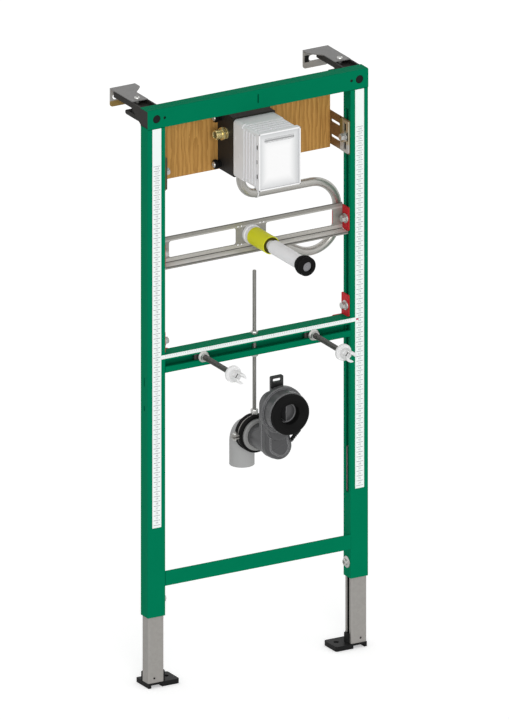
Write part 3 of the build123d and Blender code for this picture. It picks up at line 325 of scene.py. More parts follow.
@dataclass(frozen=True)
class Galvanised(Finish):
    """Hot dipped zinc: a dull grey with crystals a few millimetres wide, each a shade lighter or darker."""

    spangle: float = 5.0

    def colour(self, tree: Tree, where: Socket) -> Socket:
        """Give each zinc crystal its own shade between the two tones."""
        warp = noise(tree, where, 3 * self.spangle, 4.0).outputs["Color"]
        bend = {0: warp, 1: (0.6 * self.spangle * MM,) * 3, 2: where}
        bent = add_node(tree, "ShaderNodeVectorMath", {"operation": "MULTIPLY_ADD"}, bend).outputs[0]
        crystal = add_node(tree, "ShaderNodeTexVoronoi", inputs={"Vector": bent, "Scale": 1 / (self.spangle * MM)})
        shade = add_node(tree, "ShaderNodeSeparateColor", inputs={0: crystal.outputs["Color"]})
        return blend(tree, shade.outputs[0], self.tone, self.drift)


@dataclass(frozen=True)
class Brushed(Finish):
    """Metal with fine lines along one direction, from drawing, rolling or turning."""

    lines: Point = (0.02, 1.0, 1.0)

    def relief(self, tree: Tree, where: Socket) -> Socket:
        """Stretch the grain into lines."""
        return noise(tree, where, self.relief_size, 2.0, self.lines).outputs[0]


@dataclass(frozen=True)
class Plywood(Finish):
    """A sliced face veneer with an upright cathedral figure, and light and dark layers on the edges."""

    heart: tuple[float, float] = (-97.0, 1074.0)
    ring: float = 10.0
    lean: float = 0.17
    waver: float = 2.8
    waver_size: float = 26.0
    pore_size: float = 2.2
    ply: float = 2.6
    pores: str = "#7A5424"
    layer: str = "#6E4A1E"

    def growth(self, tree: Tree, where: Socket) -> Socket:
        """Count the growth rings: tall closed loops round the heart that run out into upright lines beside it.

        Args:
            tree: The material's tree.
            where: The object's coordinates in metres.

        Returns:
            The socket with the ring number.
        """
        heart = TO_ROW @ Vector((self.heart[0], 0.0, self.heart[1]))
        scale = (1 / (self.ring * MM), 0.0, self.lean / (self.ring * MM))
        shift = (-heart.x * scale[0], 0.0, -heart.z * scale[2])
        local = add_node(tree, "ShaderNodeMapping", inputs={"Vector": where, "Location": shift, "Scale": scale})
        loops = add_node(tree, "ShaderNodeVectorMath", {"operation": "LENGTH"}, {0: local.outputs[0]})
        drift = noise(tree, where, self.waver_size, 4.0, (1.0, 1.0, 0.3)).outputs[0]
        return reckon(tree, "MULTIPLY_ADD", drift, self.waver, loops.outputs["Value"])

    def colour(self, tree: Tree, where: Socket) -> Socket:
        """Draw the growth rings and pores on the faces, and the layers on the edges.

        Args:
            tree: The material's tree.
            where: The object's coordinates in metres.

        Returns:
            The socket with the colour.
        """
        part = reckon(tree, "FRACT", self.growth(tree, where))
        face = blend(tree, remap(tree, part, 0.2, 1.0, 0.0, 0.7, "SMOOTHERSTEP"), self.tone, self.drift)
        streak = noise(tree, where, self.pore_size, 4.0, (1.0, 1.0, 0.03)).outputs[0]
        veneer = blend(tree, remap(tree, streak, 0.5, 0.82, 0.0, 0.7), face, self.pores)
        layers = add_node(
            tree,
            "ShaderNodeTexWave",
            {"wave_type": "BANDS", "bands_direction": "Y"},
            {"Vector": where, "Scale": 2 * math.pi / (20 * self.ply * MM), "Distortion": 0.6, "Detail Scale": 3.0},
        )
        edge = blend(tree, layers.outputs["Fac"], self.layer, self.tone)
        normal = add_node(tree, "ShaderNodeNewGeometry").outputs["Normal"]
        across = add_node(tree, "ShaderNodeSeparateXYZ", inputs={0: normal}).outputs[1]
        is_face = reckon(tree, "GREATER_THAN", reckon(tree, "ABSOLUTE", across), 0.5)
        return blend(tree, is_face, edge, veneer)


@dataclass(frozen=True)
class CoverWithPaintedShade(Finish):
    """A cover whose colour fades from its own tone in the middle to a grey along its border, as painted shade."""

    low: Point = (-50.0, -300.0, 1024.0)
    high: Point = (46.0, 100.0, 1150.0)

    def colour(self, tree: Tree, where: Socket) -> Socket:
        """Fade from the middle's tone to the border's grey of painted shade."""
        away = box_distance(tree, where, self.low, self.high)
        return blend(tree, remap(tree, away, 0.45, 1.05, way="SMOOTHSTEP"), self.tone, self.drift)


# Polyester powder on steel: a deep satin green with a faint orange peel and hardly any reflection.
GREEN_COAT = Finish(
    "powder_coated_steel_green", "#007A55", "#007551", 0.5,
    drift_size=90, relief_size=1.6, relief_depth=0.03, edge=0.3, shine=0.01,
)
# Epoxy powder on a pressed clamp: bright red, a little glossier than the frame.
RED_COAT = Finish(
    "powder_coated_clamp_red", "#CE2A32", "#BC232B", 0.42, relief_size=1.4, relief_depth=0.02, shine=0.1
)
# Continuous galvanised sheet: dull, with small even crystals that hardly show.
GALVANISED = Galvanised("galvanised_sheet", "#A4A19D", "#9F9C98", 0.45, 0.4, relief_size=2.0, relief_depth=0.01)
# The rolled traverse: its flange and two strips along its folds are painted brighter than its web as painted light,
# and a strip near its top edge is painted darker as painted shade.
ROLLED_SHEET_PAINTED_LIGHT = Galvanised(
    "galvanised_rolled_profile_painted_light", "#9C9A94", "#96948E", 0.42, 0.4, relief_size=2.0, relief_depth=0.01,
    patches=(
        Patch("#DAD8D4", (-210.0, 6.5, 870.0), (210.0, 27.9, 873.6)),
        Patch("#C4C2BD", (-210.0, 27.0, 874.4), (210.0, 31.0, 881.4)),
        Patch("#B8B6B1", (-210.0, 27.0, 916.0), (210.0, 31.0, 919.5)),
        Patch("#66645F", (-210.0, 27.0, 925.6), (210.0, 31.0, 928.0)),
    ),
)
# A dark grey strip in the inside corner of the traverse's fold: painted shade, where the corner is unlit.
FOLD_SHADE_GREY = Finish("rolled_fold_shadow", "#4C4A47", "#434240", 0.6, relief_depth=0.01, shine=0.1)
# The pressed wall brackets: darker on their arms, with painted light making their front flanges lighter, and a
# passivation stain on the left flange's lower strip.
PRESSED_SHEET_PAINTED_LIGHT = Galvanised(
    "galvanised_pressing_stain_and_painted_light", "#848382", "#7F7E7D", 0.45, 0.2, relief_size=2.0, relief_depth=0.01,
    patches=(
        Patch("#B4B3B1", (-260.0, 152.0, 1160.0), (-180.0, 156.0, 1207.5)),
        Patch("#9C8450", (-260.0, 152.0, 1160.0), (-180.0, 156.0, 1181.0)),
        Patch("#B2B1AF", (180.0, 152.0, 1160.0), (260.0, 156.0, 1207.5)),
    ),
)
# Zinc plated bar after thread rolling: dark between its crests.
ROLLED_THREAD = Brushed("rolled_threaded_bar", "#666562", "#575654", 0.45, 0.7, lines=(1.0, 0.1, 1.0))
# The thin hanging rod: paler, with its lines upright.
ROD_STEEL = Brushed("zinc_plated_rod", "#9A9995", "#8D8B87", 0.42, 0.6, lines=(1.0, 1.0, 0.05))
# Bright zinc plate on fasteners: silvery with soft reflections.
BRIGHT_ZINC = Brushed("bright_zinc_fastener", "#D2D2D0", "#BFBEBA", 0.28, 0.75, relief_size=0.6, relief_depth=0.01)
# Yellow passivated zinc on pressed steel: straw with a brownish drift.
YELLOW_ZINC = Brushed(
    "yellow_passivated_zinc", "#9C7F58", "#735B42", 0.38, 0.55, drift_size=18, relief_size=0.8, relief_depth=0.01
)
# The clamps of the same lot, in pale passivation: olive beside the bolt and paler grey at the foot of the right clamp,
# and darker all over the left clamp.
PALE_ZINC = Brushed(
    "pale_passivated_zinc", "#C6C0AC", "#A59C7E", 0.36, 0.5, drift_size=16, relief_size=0.8, relief_depth=0.01,
    patches=(
        Patch("#BDBBB6", (200.0, -5.0, 1030.0), (212.0, 40.0, 1054.0)),
        Patch("#8E8450", (200.0, 24.0, 1054.0), (212.0, 40.0, 1110.0)),
        Patch("#55523E", (-212.0, -5.0, 1030.0), (-200.0, 40.0, 1110.0)),
    ),
)
# Glass filled polyamide: black, with the mould's spark erosion.
BLACK_NYLON = Finish("moulded_nylon_black", "#1D1D1D", "#171717", 0.5, relief_size=0.8, shine=0.12)
# The same polyamide, coloured a warm dark grey.
DARK_NYLON = Finish("moulded_nylon_dark_grey", "#2F2D2B", "#272523", 0.48, relief_size=0.8, shine=0.12)
# Polypropylene trap: dark grey with a waxy shine and flow marks, and a painted highlight on its edges; its lug and
# strut are black.
TRAP_PLASTIC_EDGE_HIGHLIGHT = Finish(
    "moulded_polypropylene_trap_painted_highlight", "#484849", "#454547", 0.26,
    drift_size=30, relief_size=3.0, relief_depth=0.06, edge=1.2, shine=0.6, painted_edge_highlight="#9A9A9C",
    patches=(
        Patch("#1D1D1D", (-18.0, -80.5, 612.0), (12.0, -73.0, 640.0)),
        Patch("#1D1D1D", (31.9, -114.0, 494.0), (37.0, -60.0, 546.0)),
    ),
)
# Polypropylene drain pipe: an even mid grey with a soft sheen.
GREY_PIPE = Finish("moulded_polypropylene_grey", "#ACACAC", "#A5A5A4", 0.42, relief_size=2.0, edge=0.8)
# The socket's lip: the same grey a shade darker and duller.
LIP_GREY = Finish("moulded_polypropylene_lip", "#949493", "#8C8C8B", 0.5)
# The transport plug: a slightly bluish grey.
PLUG_GREY = Finish("moulded_plug_grey", "#97979A", "#8F8F92", 0.5)
# The box's rim: ABS polished to a clean white line.
RIM_WHITE = Finish("polished_abs_rim", "#FCFCFC", "#F8F8F8", 0.35, relief_depth=0.005, edge=0.3)
# ABS housing: off white and satin.
WHITE_ABS = Finish("moulded_abs_white", "#EAEAEB", "#E3E3E5", 0.4, relief_depth=0.01, edge=0.6)
# The box's cover: bright in the middle, and greyer along its border as painted shade.
COVER_ABS_PAINTED_SHADE = CoverWithPaintedShade("moulded_abs_cover_painted_shade", "#FAFAFA", "#CBCDCE", 0.35, relief_depth=0.005)
# Extruded tube: white and smooth.
WHITE_TUBE = Finish("extruded_tube_white", "#EEEEEF", "#E7E7E9", 0.35, relief_size=2.0, relief_depth=0.01)
# Soft polyethylene caps: cloudy, with a little light going through them.
CLOUDY_CAP = Finish(
    "moulded_polyethylene_cap", "#F7F7F7", "#EFEFEF", 0.35,
    relief_size=1.5, fixed=(("Transmission Weight", 0.12), ("IOR", 1.5)),
)
# The inlet's sleeve: a loud yellow green.
LIME_PLASTIC = Finish("moulded_sleeve_lime", "#E0E02C", "#D6D626", 0.4, relief_depth=0.015, shine=0.1)
# A dark olive ring inside the sleeve's mouth: painted shade of the sleeve's shadowed inside, matt.
SLEEVE_SHADE_OLIVE = Finish("sleeve_inner_painted_shade_olive", "#4E4A14", "#433F10", 0.6, shine=0.06)
# EPDM rubber: deep black, dull, with a fine bloom.
BLACK_RUBBER = Finish(
    "moulded_rubber_black", "#181818", "#111111", 0.62, relief_size=0.9, relief_depth=0.03, edge=0.5, shine=0.06
)
# Turned brass: lathe lines round the axis.
BRASS = Brushed("turned_brass", "#EADCA4", "#CDBA7C", 0.24, 0.75, relief_size=0.5, lines=(1.0, 0.04, 0.04))
# Stainless tube: satin, with lines along the run.
STAINLESS = Brushed(
    "satin_stainless_tube", "#C2C0BB", "#B4B2AD", 0.28, 0.65, relief_size=0.8, relief_depth=0.01, edge=0.3
)
# Varnished plywood: honey brown rings with darker pores.
BOARD_WOOD = Plywood(
    "veneered_plywood", "#C69552", "#A6773C", 0.6, relief_size=0.8, relief_depth=0.03, edge=0.3, shine=0.1
)
# Polyester tape: nearly white with a breath of green.
TAPE_FILM = Finish("polyester_tape_white", "#F4FAF8", "#F0F7F5", 0.4, relief_size=6.0, relief_depth=0.01, edge=0.05)
# The tape's strokes, its paler numbers and the red mark at its end.
TAPE_INK = Finish("printed_ink_grey", "#8A8790", "#817E88", 0.5, relief_depth=0.002, edge=0.02)
FAINT_INK = Finish("printed_ink_pale", "#A9A7AE", "#A19FA6", 0.5, relief_depth=0.002, edge=0.02)
MARK_INK = Finish("printed_ink_red", "#D9667A", "#D05E72", 0.5, relief_depth=0.002, edge=0.02)
# The cover's finger slot: grey strips laid in its groove and along its upper edge as painted shade.
SLOT_SHADE_GREY = Finish("cover_slot_painted_shade", "#A3A3A4", "#9A9A9B", 0.5, relief_depth=0.01)
# An opening that no light reaches.
DARK_GAP = Finish("unlit_gap", "#0B0C0C", "#060707", 0.8, relief_depth=0.01, shine=0.05)

NODE_FINISHES: dict[Finish, tuple[str, ...]] = {
    GREEN_COAT: ("left_upright", "right_upright", "top_rail", "mounting_rail", "bottom_rail"),
    GALVANISED: ("left_leg", "right_leg", "pipe_clamp"),
    ROLLED_SHEET_PAINTED_LIGHT: ("traverse",),
    PRESSED_SHEET_PAINTED_LIGHT: ("left_wall_bracket", "right_wall_bracket"),
    BRIGHT_ZINC: ("stud_nuts",),
    YELLOW_ZINC: ("left_board_bracket", "right_board_bracket"),
    PALE_ZINC: ("board_clamps",),
    RED_COAT: ("traverse_clamps", "rail_clamps"),
    BLACK_NYLON: ("left_foot", "right_foot", "rail_plugs"),
    DARK_NYLON: ("left_corner_connector", "right_corner_connector", "valve_backing"),
    WHITE_ABS: ("valve_box", "inlet_collar"),
    COVER_ABS_PAINTED_SHADE: ("valve_box_lid",),
    WHITE_TUBE: ("inlet_tube",),
    CLOUDY_CAP: ("stud_caps",),
    LIME_PLASTIC: ("inlet_sleeve",),
    BLACK_RUBBER: ("rubber_mounts", "inlet_seal", "clamp_rubber", "trap_gasket"),
    STAINLESS: ("flush_pipe",),
    BOARD_WOOD: ("back_board",),
    GREY_PIPE: ("drain_elbow",),
    LIP_GREY: ("socket_lip",),
    TRAP_PLASTIC_EDGE_HIGHLIGHT: ("trap_body",),
}


class Section(Enum):
    """The outline of one ring of a turned or hexagonal piece."""

    ROUND = "round"
    HEX = "hex"


HEX = Section.HEX

# Outlines from the start to the end of a fastener: height and radius, and HEX where the ring is a hexagon.
BOLT_HEAD: Outline = (
    (0.0, 4.0), (0.0, 9.6), (0.4, 10.0), (2.6, 10.0), (3.0, 9.6), (3.0, 6.4),
    (3.3, 6.5, HEX), (10.2, 6.5, HEX), (11.0, 6.1), (10.8, 4.6),
)
LEG_SCREW: Outline = (
    (-9.6, 4.0), (0.0, 4.0), (0.0, 11.6), (0.4, 12.0), (1.4, 12.0), (1.8, 11.4), (2.5, 7.5), (2.9, 7.0),
    (6.2, 7.0), (7.5, 5.4), (7.5, 3.6, HEX), (4.2, 3.4, HEX),
)
INLET_NIPPLE: Outline = (
    (-8.0, 7.0), (-8.0, 8.4), (0.0, 8.4), (0.0, 11.3), (0.3, 11.5), (2.7, 11.5), (3.0, 11.3), (4.0, 8.5),
    (6.0, 8.5), (6.0, 11.6), (6.6, 12.0, HEX), (11.4, 12.0, HEX), (12.0, 11.6), (12.0, 9.2), (22.6, 9.2),
    (23.0, 9.9), (25.3, 9.9), (26.0, 9.2), (26.0, 7.6), (25.2, 7.0),
)
BOX_DIMPLE: Outline = ((-0.5, 2.0), (0.4, 2.0), (0.9, 1.6), (1.2, 0.9), (1.25, 0.3))
CAP_WEB: Outline = ((0.05, 5.9), (1.4, 5.9), (1.7, 5.6))
SLEEVE_SHADE_RING: Outline = ((0.0, 10.02), (0.0, 16.78), (2.0, 16.78), (2.4, 16.2), (2.4, 10.6), (2.0, 10.02))


@dataclass(frozen=True)
class Ring:
    """One ring of a skin: its height, and its radius, which for a hexagon is measured to the flats."""

    height: float
    radius: float
    section: Section = Section.ROUND

    def reach(self, angle: float) -> float:
        """The ring's radius at an angle."""
        if self.section is Section.ROUND:
            return self.radius
        sixth = math.pi / 3
        return self.radius / math.cos((angle + sixth / 2) % sixth - sixth / 2)


def finished_mesh(name: str, shape: bmesh.types.BMesh) -> Mesh:
    """Turn a shape into a mesh, and free it."""
    mesh = bpy.data.meshes.new(name)
    shape.to_mesh(mesh)
    shape.free()
    return mesh


def skin(outline: Outline, hollow: bool = False, steps: int = 48) -> Mesh:
    """Join rings stacked along Z into one closed skin.

    Args:
        outline: The rings in order, each as the values of a Ring.
        hollow: Whether the last ring joins the first one, as round a bore, instead of both being capped.
        steps: Points on each ring, a multiple of 12 so that a hexagon's corners fall on points.

    Returns:
        The mesh, in millimetres along Z.
    """
    shape = bmesh.new()
    angles = [2 * math.pi * step / steps for step in range(steps)]
    loops = []
    for ring in (Ring(*values) for values in outline):
        points = [(ring.reach(a) * math.cos(a), ring.reach(a) * math.sin(a), ring.height) for a in angles]
        loops.append([shape.verts.new(point) for point in points])
    following = loops[1:] + loops[:1] if hollow else loops[1:]
    for low, high in zip(loops, following):
        for step in range(steps):
            after = (step + 1) % steps
            shape.faces.new((low[step], low[after], high[after], high[step]))
    if not hollow:
        shape.faces.new(loops[0])
        shape.faces.new(loops[-1])
    return finished_mesh("skin", shape)


def slab(low: Sequence[float], high: Sequence[float], bevel: float = 0.0) -> Placed:
    """Make a block between two corners, with its edges rounded, where it stands.

    Args:
        low: The lowest corner.
        high: The highest corner.
        bevel: The rounding of every edge.

    Returns:
        The mesh in millimetres, with a place that leaves it there.
    """
    shape = bmesh.new()
    bmesh.ops.create_cube(shape, size=1.0)
    size = [high[axis] - low[axis] for axis in range(3)]
    middle = [(high[axis] + low[axis]) / 2 for axis in range(3)]
    for vertex in shape.verts:
        vertex.co = [vertex.co[axis] * size[axis] + middle[axis] for axis in range(3)]
    if bevel > 0:
        bmesh.ops.bevel(shape, geom=shape.edges[:], offset=bevel, segments=3, profile=0.5, affect="EDGES")
    return finished_mesh("block", shape), Matrix()


def span(sign: int, near: float, far: float) -> list[float]:
    """The two ends of a stretch on one side, the lower one first."""
    return sorted((sign * near, sign * far))


def towards(direction: Sequence[float]) -> Matrix:
    """Turn local Z to a direction."""
    return Vector(direction).to_track_quat("Z", "Y").to_matrix().to_4x4()


def facing(x: float, y: float, z: float, direction: Sequence[float]) -> Matrix:
    """Turn local Z to a direction and put its start at a point."""
    return Matrix.Translation((x, y, z)) @ towards(direction)


def new_object(name: str, data: bpy.types.ID) -> bpy.types.Object:
    """Make an object of some data and put it into the scene."""
    thing = bpy.data.objects.new(name, data)
    bpy.context.scene.collection.objects.link(thing)
    return thing


def taken_mesh(host: bpy.types.Object) -> Mesh:
    """Take the mesh that an object comes out as, and remove the object."""
    graph = bpy.context.evaluated_depsgraph_get()
    mesh = bpy.data.meshes.new_from_object(host.evaluated_get(graph), depsgraph=graph)
    bpy.data.objects.remove(host)
    return mesh


def joined(name: str, parts: Sequence[Placed]) -> Mesh:
    """Put several meshes into one, each at its own place.

    Args:
        name: The new mesh's name.
        parts: The meshes, which are used up, with their places in millimetres.

    Returns:
        The joined mesh in metres in the model's frame, with its faces pointing outwards.
    """
    shape = bmesh.new()
    for mesh, place in parts:
        mesh.transform(TO_ROW @ place)
        shape.from_mesh(mesh)
        bpy.data.meshes.remove(mesh)
    bmesh.ops.recalc_face_normals(shape, faces=shape.faces[:])
    for face in shape.faces:
        face.smooth = True
        face.material_index = 0
    result = finished_mesh(name, shape)
    result.set_sharp_from_angle(angle=CREASE)
    return result


class Grower:
    """A Geometry Nodes tree that grows a repeating shape from its named inputs."""

    title = "grower"
    inputs: tuple[str, ...] = ()
    kinds = {"Count": "NodeSocketInt", "Material": "NodeSocketMaterial"}

    def grow(self, tree: Tree, given: bpy.types.NodeOutputs) -> Socket:
        """Add the shape's nodes; each kind of grower has its own."""
        raise NotImplementedError

    def row(self, tree: Tree, given: bpy.types.NodeOutputs, axis: int, item: Socket, size: Socket) -> Socket:
        """Set an item on each point of a line.

        Args:
            tree: The tree that the nodes go into.
            given: The tree's inputs, of which Count and Pitch are used.
            axis: The axis that the line runs along.
            item: The shape to repeat.
            size: The scale of each item.

        Returns:
            The socket with the instances.
        """
        step = add_node(tree, "ShaderNodeCombineXYZ", inputs={axis: given["Pitch"]}).outputs[0]
        points = {"Count": given["Count"], "Offset": step}
        line = add_node(tree, "GeometryNodeMeshLine", {"mode": "OFFSET"}, points).outputs[0]
        repeat = {"Points": line, "Instance": item, "Scale": size}
        return add_node(tree, "GeometryNodeInstanceOnPoints", inputs=repeat).outputs[0]

    def tree(self) -> Tree:
        """Build the tree: its inputs, its shape made real, and the material.

        Returns:
            The tree.
        """
        tree = bpy.data.node_groups.new(self.title, "GeometryNodeTree")
        for name in (*self.inputs, "Material"):
            kind = self.kinds.get(name, "NodeSocketFloat")
            tree.interface.new_socket(name=name, in_out="INPUT", socket_type=kind)
        tree.interface.new_socket(name="Mesh", in_out="OUTPUT", socket_type="NodeSocketGeometry")
        given = add_node(tree, "NodeGroupInput").outputs
        real = add_node(tree, "GeometryNodeRealizeInstances", inputs={"Geometry": self.grow(tree, given)})
        dress = {"Geometry": real.outputs[0], "Material": given["Material"]}
        dressed = add_node(tree, "GeometryNodeSetMaterial", inputs=dress)
        add_node(tree, "NodeGroupOutput", inputs={0: dressed.outputs[0]})
        return tree

    def mesh(self, finish: Finish, **values: float) -> Mesh:
        """Grow the shape once.

        Args:
            finish: What it is made of.
            values: The tree's other inputs by name.

        Returns:
            A plain mesh, in the units of the inputs.
        """
        tree = bpy.data.node_groups.get(self.title) or self.tree()
        host = new_object(self.title, bpy.data.meshes.new(self.title))
        modifier = host.modifiers.new(self.title, "NODES")
        modifier.node_group = tree
        given = {**values, "Material": finish.material()}
        for item in tree.interface.items_tree:
            if item.item_type == "SOCKET" and item.in_out == "INPUT":
                modifier[item.identifier] = given[item.name]
        return taken_mesh(host)


class Thread(Grower):
    """A screw thread: one triangular ridge wound round a core."""

    title = "screw_thread"
    inputs = ("Radius", "Depth", "Pitch", "Length")

    def grow(self, tree: Tree, given: bpy.types.NodeOutputs) -> Socket:
        """Wind a spiral and draw a three sided profile along it.

        Args:
            tree: The tree that the nodes go into.
            given: The tree's inputs.

        Returns:
            The socket with the ridge.
        """
        half = reckon(tree, "MULTIPLY", given["Depth"], 0.66)
        middle = reckon(tree, "SUBTRACT", given["Radius"], half)
        spiral = add_node(
            tree,
            "GeometryNodeCurveSpiral",
            inputs={
                "Resolution": 20,
                "Rotations": reckon(tree, "DIVIDE", given["Length"], given["Pitch"]),
                "Start Radius": middle,
                "End Radius": middle,
                "Height": given["Length"],
            },
        )
        level = add_node(tree, "GeometryNodeSetCurveNormal", {"mode": "Z_UP"}, {"Curve": spiral.outputs[0]})
        circle = {"Resolution": 3, "Radius": half}
        ridge = add_node(tree, "GeometryNodeCurvePrimitiveCircle", {"mode": "RADIUS"}, circle)
        sweep = {"Curve": level.outputs[0], "Profile Curve": ridge.outputs[0], "Fill Caps": True}
        return add_node(tree, "GeometryNodeCurveToMesh", inputs=sweep).outputs[0]


class TickRow(Grower):
    """A printed scale: strokes at an even pitch, every fifth one longer."""

    title = "tick_row"
    inputs = ("Count", "Pitch", "Long", "Short", "Stroke", "Thickness")

    def grow(self, tree: Tree, given: bpy.types.NodeOutputs) -> Socket:
        """Set a thin bar on each point of a line, and stretch every fifth."""
        beat = reckon(tree, "MODULO", add_node(tree, "GeometryNodeInputIndex").outputs[0], 5.0)
        fifth = reckon(tree, "LESS_THAN", beat, 0.5)
        length = remap(tree, fifth, 0.0, 1.0, given["Short"], given["Long"])
        size = add_node(
            tree, "ShaderNodeCombineXYZ", inputs={0: length, 1: given["Stroke"], 2: given["Thickness"]}
        )
        bar = add_node(tree, "GeometryNodeMeshCube").outputs[0]
        return self.row(tree, given, 1, bar, size.outputs[0])


class WeldRow(Grower):
    """A short weld: flattened drops of metal that overlap along a line."""

    title = "weld_row"
    inputs = ("Count", "Pitch", "Radius")

    def grow(self, tree: Tree, given: bpy.types.NodeOutputs) -> Socket:
        """Set a low round drop on each point of a line, each a little different."""
        ball = {"Radius": given["Radius"], "Subdivisions": 2}
        drop = add_node(tree, "GeometryNodeMeshIcoSphere", inputs=ball).outputs[0]
        spread = {0: (0.9, 0.9, 0.9), 1: (1.15, 1.15, 1.15), "Seed": 7}
        size = add_node(tree, "FunctionNodeRandomValue", {"data_type": "FLOAT_VECTOR"}, spread).outputs[0]
        return self.row(tree, given, 0, drop, size)


def figures(words: str, height: float) -> Mesh:
    """Set a plain number as a flat mesh, centred on its origin in the XY plane.

    Args:
        words: The digits.
        height: The size of the type.

    Returns:
        The mesh.
    """
    curve = bpy.data.curves.new("figures", "FONT")
    curve.body = words
    curve.size = height
    curve.align_x = "CENTER"
    curve.align_y = "CENTER"
    curve.resolution_u = 2
    mesh = taken_mesh(new_object("figures", curve))
    bpy.data.curves.remove(curve)
    return mesh


def add_piece(
    name: str, parts: Sequence[Placed], finish: Finish, replaces: Sequence[str] = (), body: str = BODY
) -> None:
    """Join some meshes into a piece of the model.

    Args:
        name: The piece's name.
        parts: The meshes with their places in millimetres.
        finish: What it is made of.
        replaces: CAD nodes that the piece stands for.
        body: The body that the piece moves with.
    """
    mesh = joined(name, parts)
    mesh.materials.clear()
    mesh.materials.append(finish.material())
    piece = new_object(name, mesh)
    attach(piece, body)
    if replaces:
        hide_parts(*replaces)
    log.info("placed %s (%d faces)", name, len(mesh.polygons))


def nut_rings(across: float, start: float, height: float, bore: float) -> Outline:
    """The rings of a hexagon nut with both faces chamfered, for a hollow skin."""
    half = across / 2
    cut = half * 0.09
    end = start + height
    hexagon = ((start + cut, half, HEX), (end - cut, half, HEX))
    return (start, bore), (start, half * 0.97), *hexagon, (end, half * 0.97), (end, bore)


def head_rings(radius: float, height: float, socket: float) -> Outline:
    """The rings of a low round screw head with a hexagon socket, for a solid skin."""
    dome = ((0.0, radius), (height * 0.35, radius), (height * 0.75, radius * 0.9), (height, radius * 0.68))
    return *dome, (height, socket, HEX), (height * 0.3, socket, HEX)


@dataclass
class SteelFrame:
    """The green frame's own additions: the welds where the rails meet the uprights, all at the back."""

    inner_face: float = 210.0
    outer_face: float = 250.0
    back: float = 30.0
    bottom_rail_back: float = 3.0
    sunk: float = 0.4
    seam_sunk: float = 0.6
    seam_margin: float = 2.5
    seam_shortening: float = 4.0
    weld_radius: float = 1.4
    weld_pitch: float = 1.5
    mounting_rail: tuple[float, float] = (656.0, 691.5)
    bottom_rail: tuple[float, float] = (211.0, 238.5)
    top_seam: float = 1168.0

    def weld(self, length: float, place: Matrix) -> Placed:
        """One weld of a length, along local X from its place."""
        count = int(length / self.weld_pitch)
        return WeldRow().mesh(GREEN_COAT, Count=count, Pitch=self.weld_pitch, Radius=self.weld_radius), place

    def build(self) -> None:
        """Run the welds on both sides."""
        upwards = Matrix.Rotation(math.radians(-90), 4, "Y")
        for side, sign in SIDES:
            seam = sign * self.inner_face
            parts = []
            for (low, high), depth in (
                (self.mounting_rail, self.back - self.sunk),
                (self.bottom_rail, self.bottom_rail_back),
            ):
                parts.append(self.weld(high - low, Matrix.Translation((seam, depth, low)) @ upwards))
            start = span(sign, self.inner_face, self.outer_face)[0] + self.seam_margin
            across = Matrix.Translation((start, self.back - self.seam_sunk, self.top_seam))
            parts.append(self.weld(self.outer_face - self.inner_face - self.seam_shortening, across))
            add_piece(f"{side}_frame_welds", parts, GREEN_COAT)


@dataclass
class Scales:
    """The white measuring tapes on the frame's front, with strokes and numbers in centimetres."""

    centre: float = 230.0
    width: float = 20.0
    bottom: float = 334.5
    top: float = 1168.0
    first_stroke: float = 340.0
    last_stroke: float = 1090.0
    pitch: float = 10.0
    long: float = 15.6
    short: float = 14.4
    stroke: float = 0.9
    film: float = 0.25
    ink: float = 0.05
    figure_height: float = 6.4
    cross_bottom: float = 684.3
    cross_top: float = 692.4
    cross_starts: tuple[float, float] = (-210.0, 10.0)
    cross_count: int = 41
    cross_pitch: float = 5.0
    cross_long: float = 4.2
    cross_short: float = 2.4
    cross_stroke: float = 0.5
    cross_drop: float = 2.6
    mark_across: tuple[float, float] = (221.8, 227.4)
    mark_levels: tuple[float, float] = (686.4, 690.2)

    def build(self) -> None:
        """Lay the two upright tapes and the cross tape, and print them."""
        for side, sign in SIDES:
            self.upright_tape(side, sign)
        self.cross_tape()

    def upright_tape(self, side: str, sign: int) -> None:
        """Lay one upright tape.

        Args:
            side: The side's name.
            sign: -1 on the left and 1 on the right.
        """
        middle = sign * self.centre
        half = self.width / 2
        film = slab((middle - half, -self.film, self.bottom), (middle + half, 0.0, self.top))
        add_piece(f"{side}_scale_tape", [film], TAPE_FILM)
        count = int((self.last_stroke - self.first_stroke) / self.pitch) + 1
        strokes = TickRow().mesh(
            TAPE_INK,
            Count=count,
            Pitch=self.pitch,
            Long=self.long,
            Short=self.short,
            Stroke=self.stroke,
            Thickness=self.ink,
        )
        place = Matrix.Translation((middle, -self.film - self.ink / 2, self.first_stroke)) @ TO_FRONT
        add_piece(f"{side}_scale_strokes", [(strokes, place)], TAPE_INK)
        parts = []
        for index in range(count - 1):
            level = self.first_stroke + (index + 0.5) * self.pitch
            number = figures(str(int(self.first_stroke / 10) + index), self.figure_height)
            parts.append((number, Matrix.Translation((middle, -self.film - self.ink, level)) @ TO_FRONT))
        add_piece(f"{side}_scale_numbers", parts, FAINT_INK)

    def cross_tape(self) -> None:
        """Lay the tape along the mounting rail, and put the red mark at its right end."""
        reach = self.centre - self.width / 2
        film = slab((-reach, -self.film, self.cross_bottom), (reach, 0.0, self.cross_top))
        add_piece("cross_scale_tape", [film], TAPE_FILM)
        across = TO_FRONT @ Matrix.Rotation(math.radians(-90), 4, "Z")
        parts = []
        for start in self.cross_starts:
            strokes = TickRow().mesh(
                TAPE_INK,
                Count=self.cross_count,
                Pitch=self.cross_pitch,
                Long=self.cross_long,
                Short=self.cross_short,
                Stroke=self.cross_stroke,
                Thickness=self.ink,
            )
            place = Matrix.Translation((start, -self.film - self.ink / 2, self.cross_top - self.cross_drop))
            parts.append((strokes, place @ across))
        add_piece("cross_scale_print", parts, TAPE_INK)
        (left, right), (low, high) = self.mark_across, self.mark_levels
        mark = slab((left, -self.film - self.ink, low), (right, -self.film, high))
        add_piece("level_mark", [mark], MARK_INK)


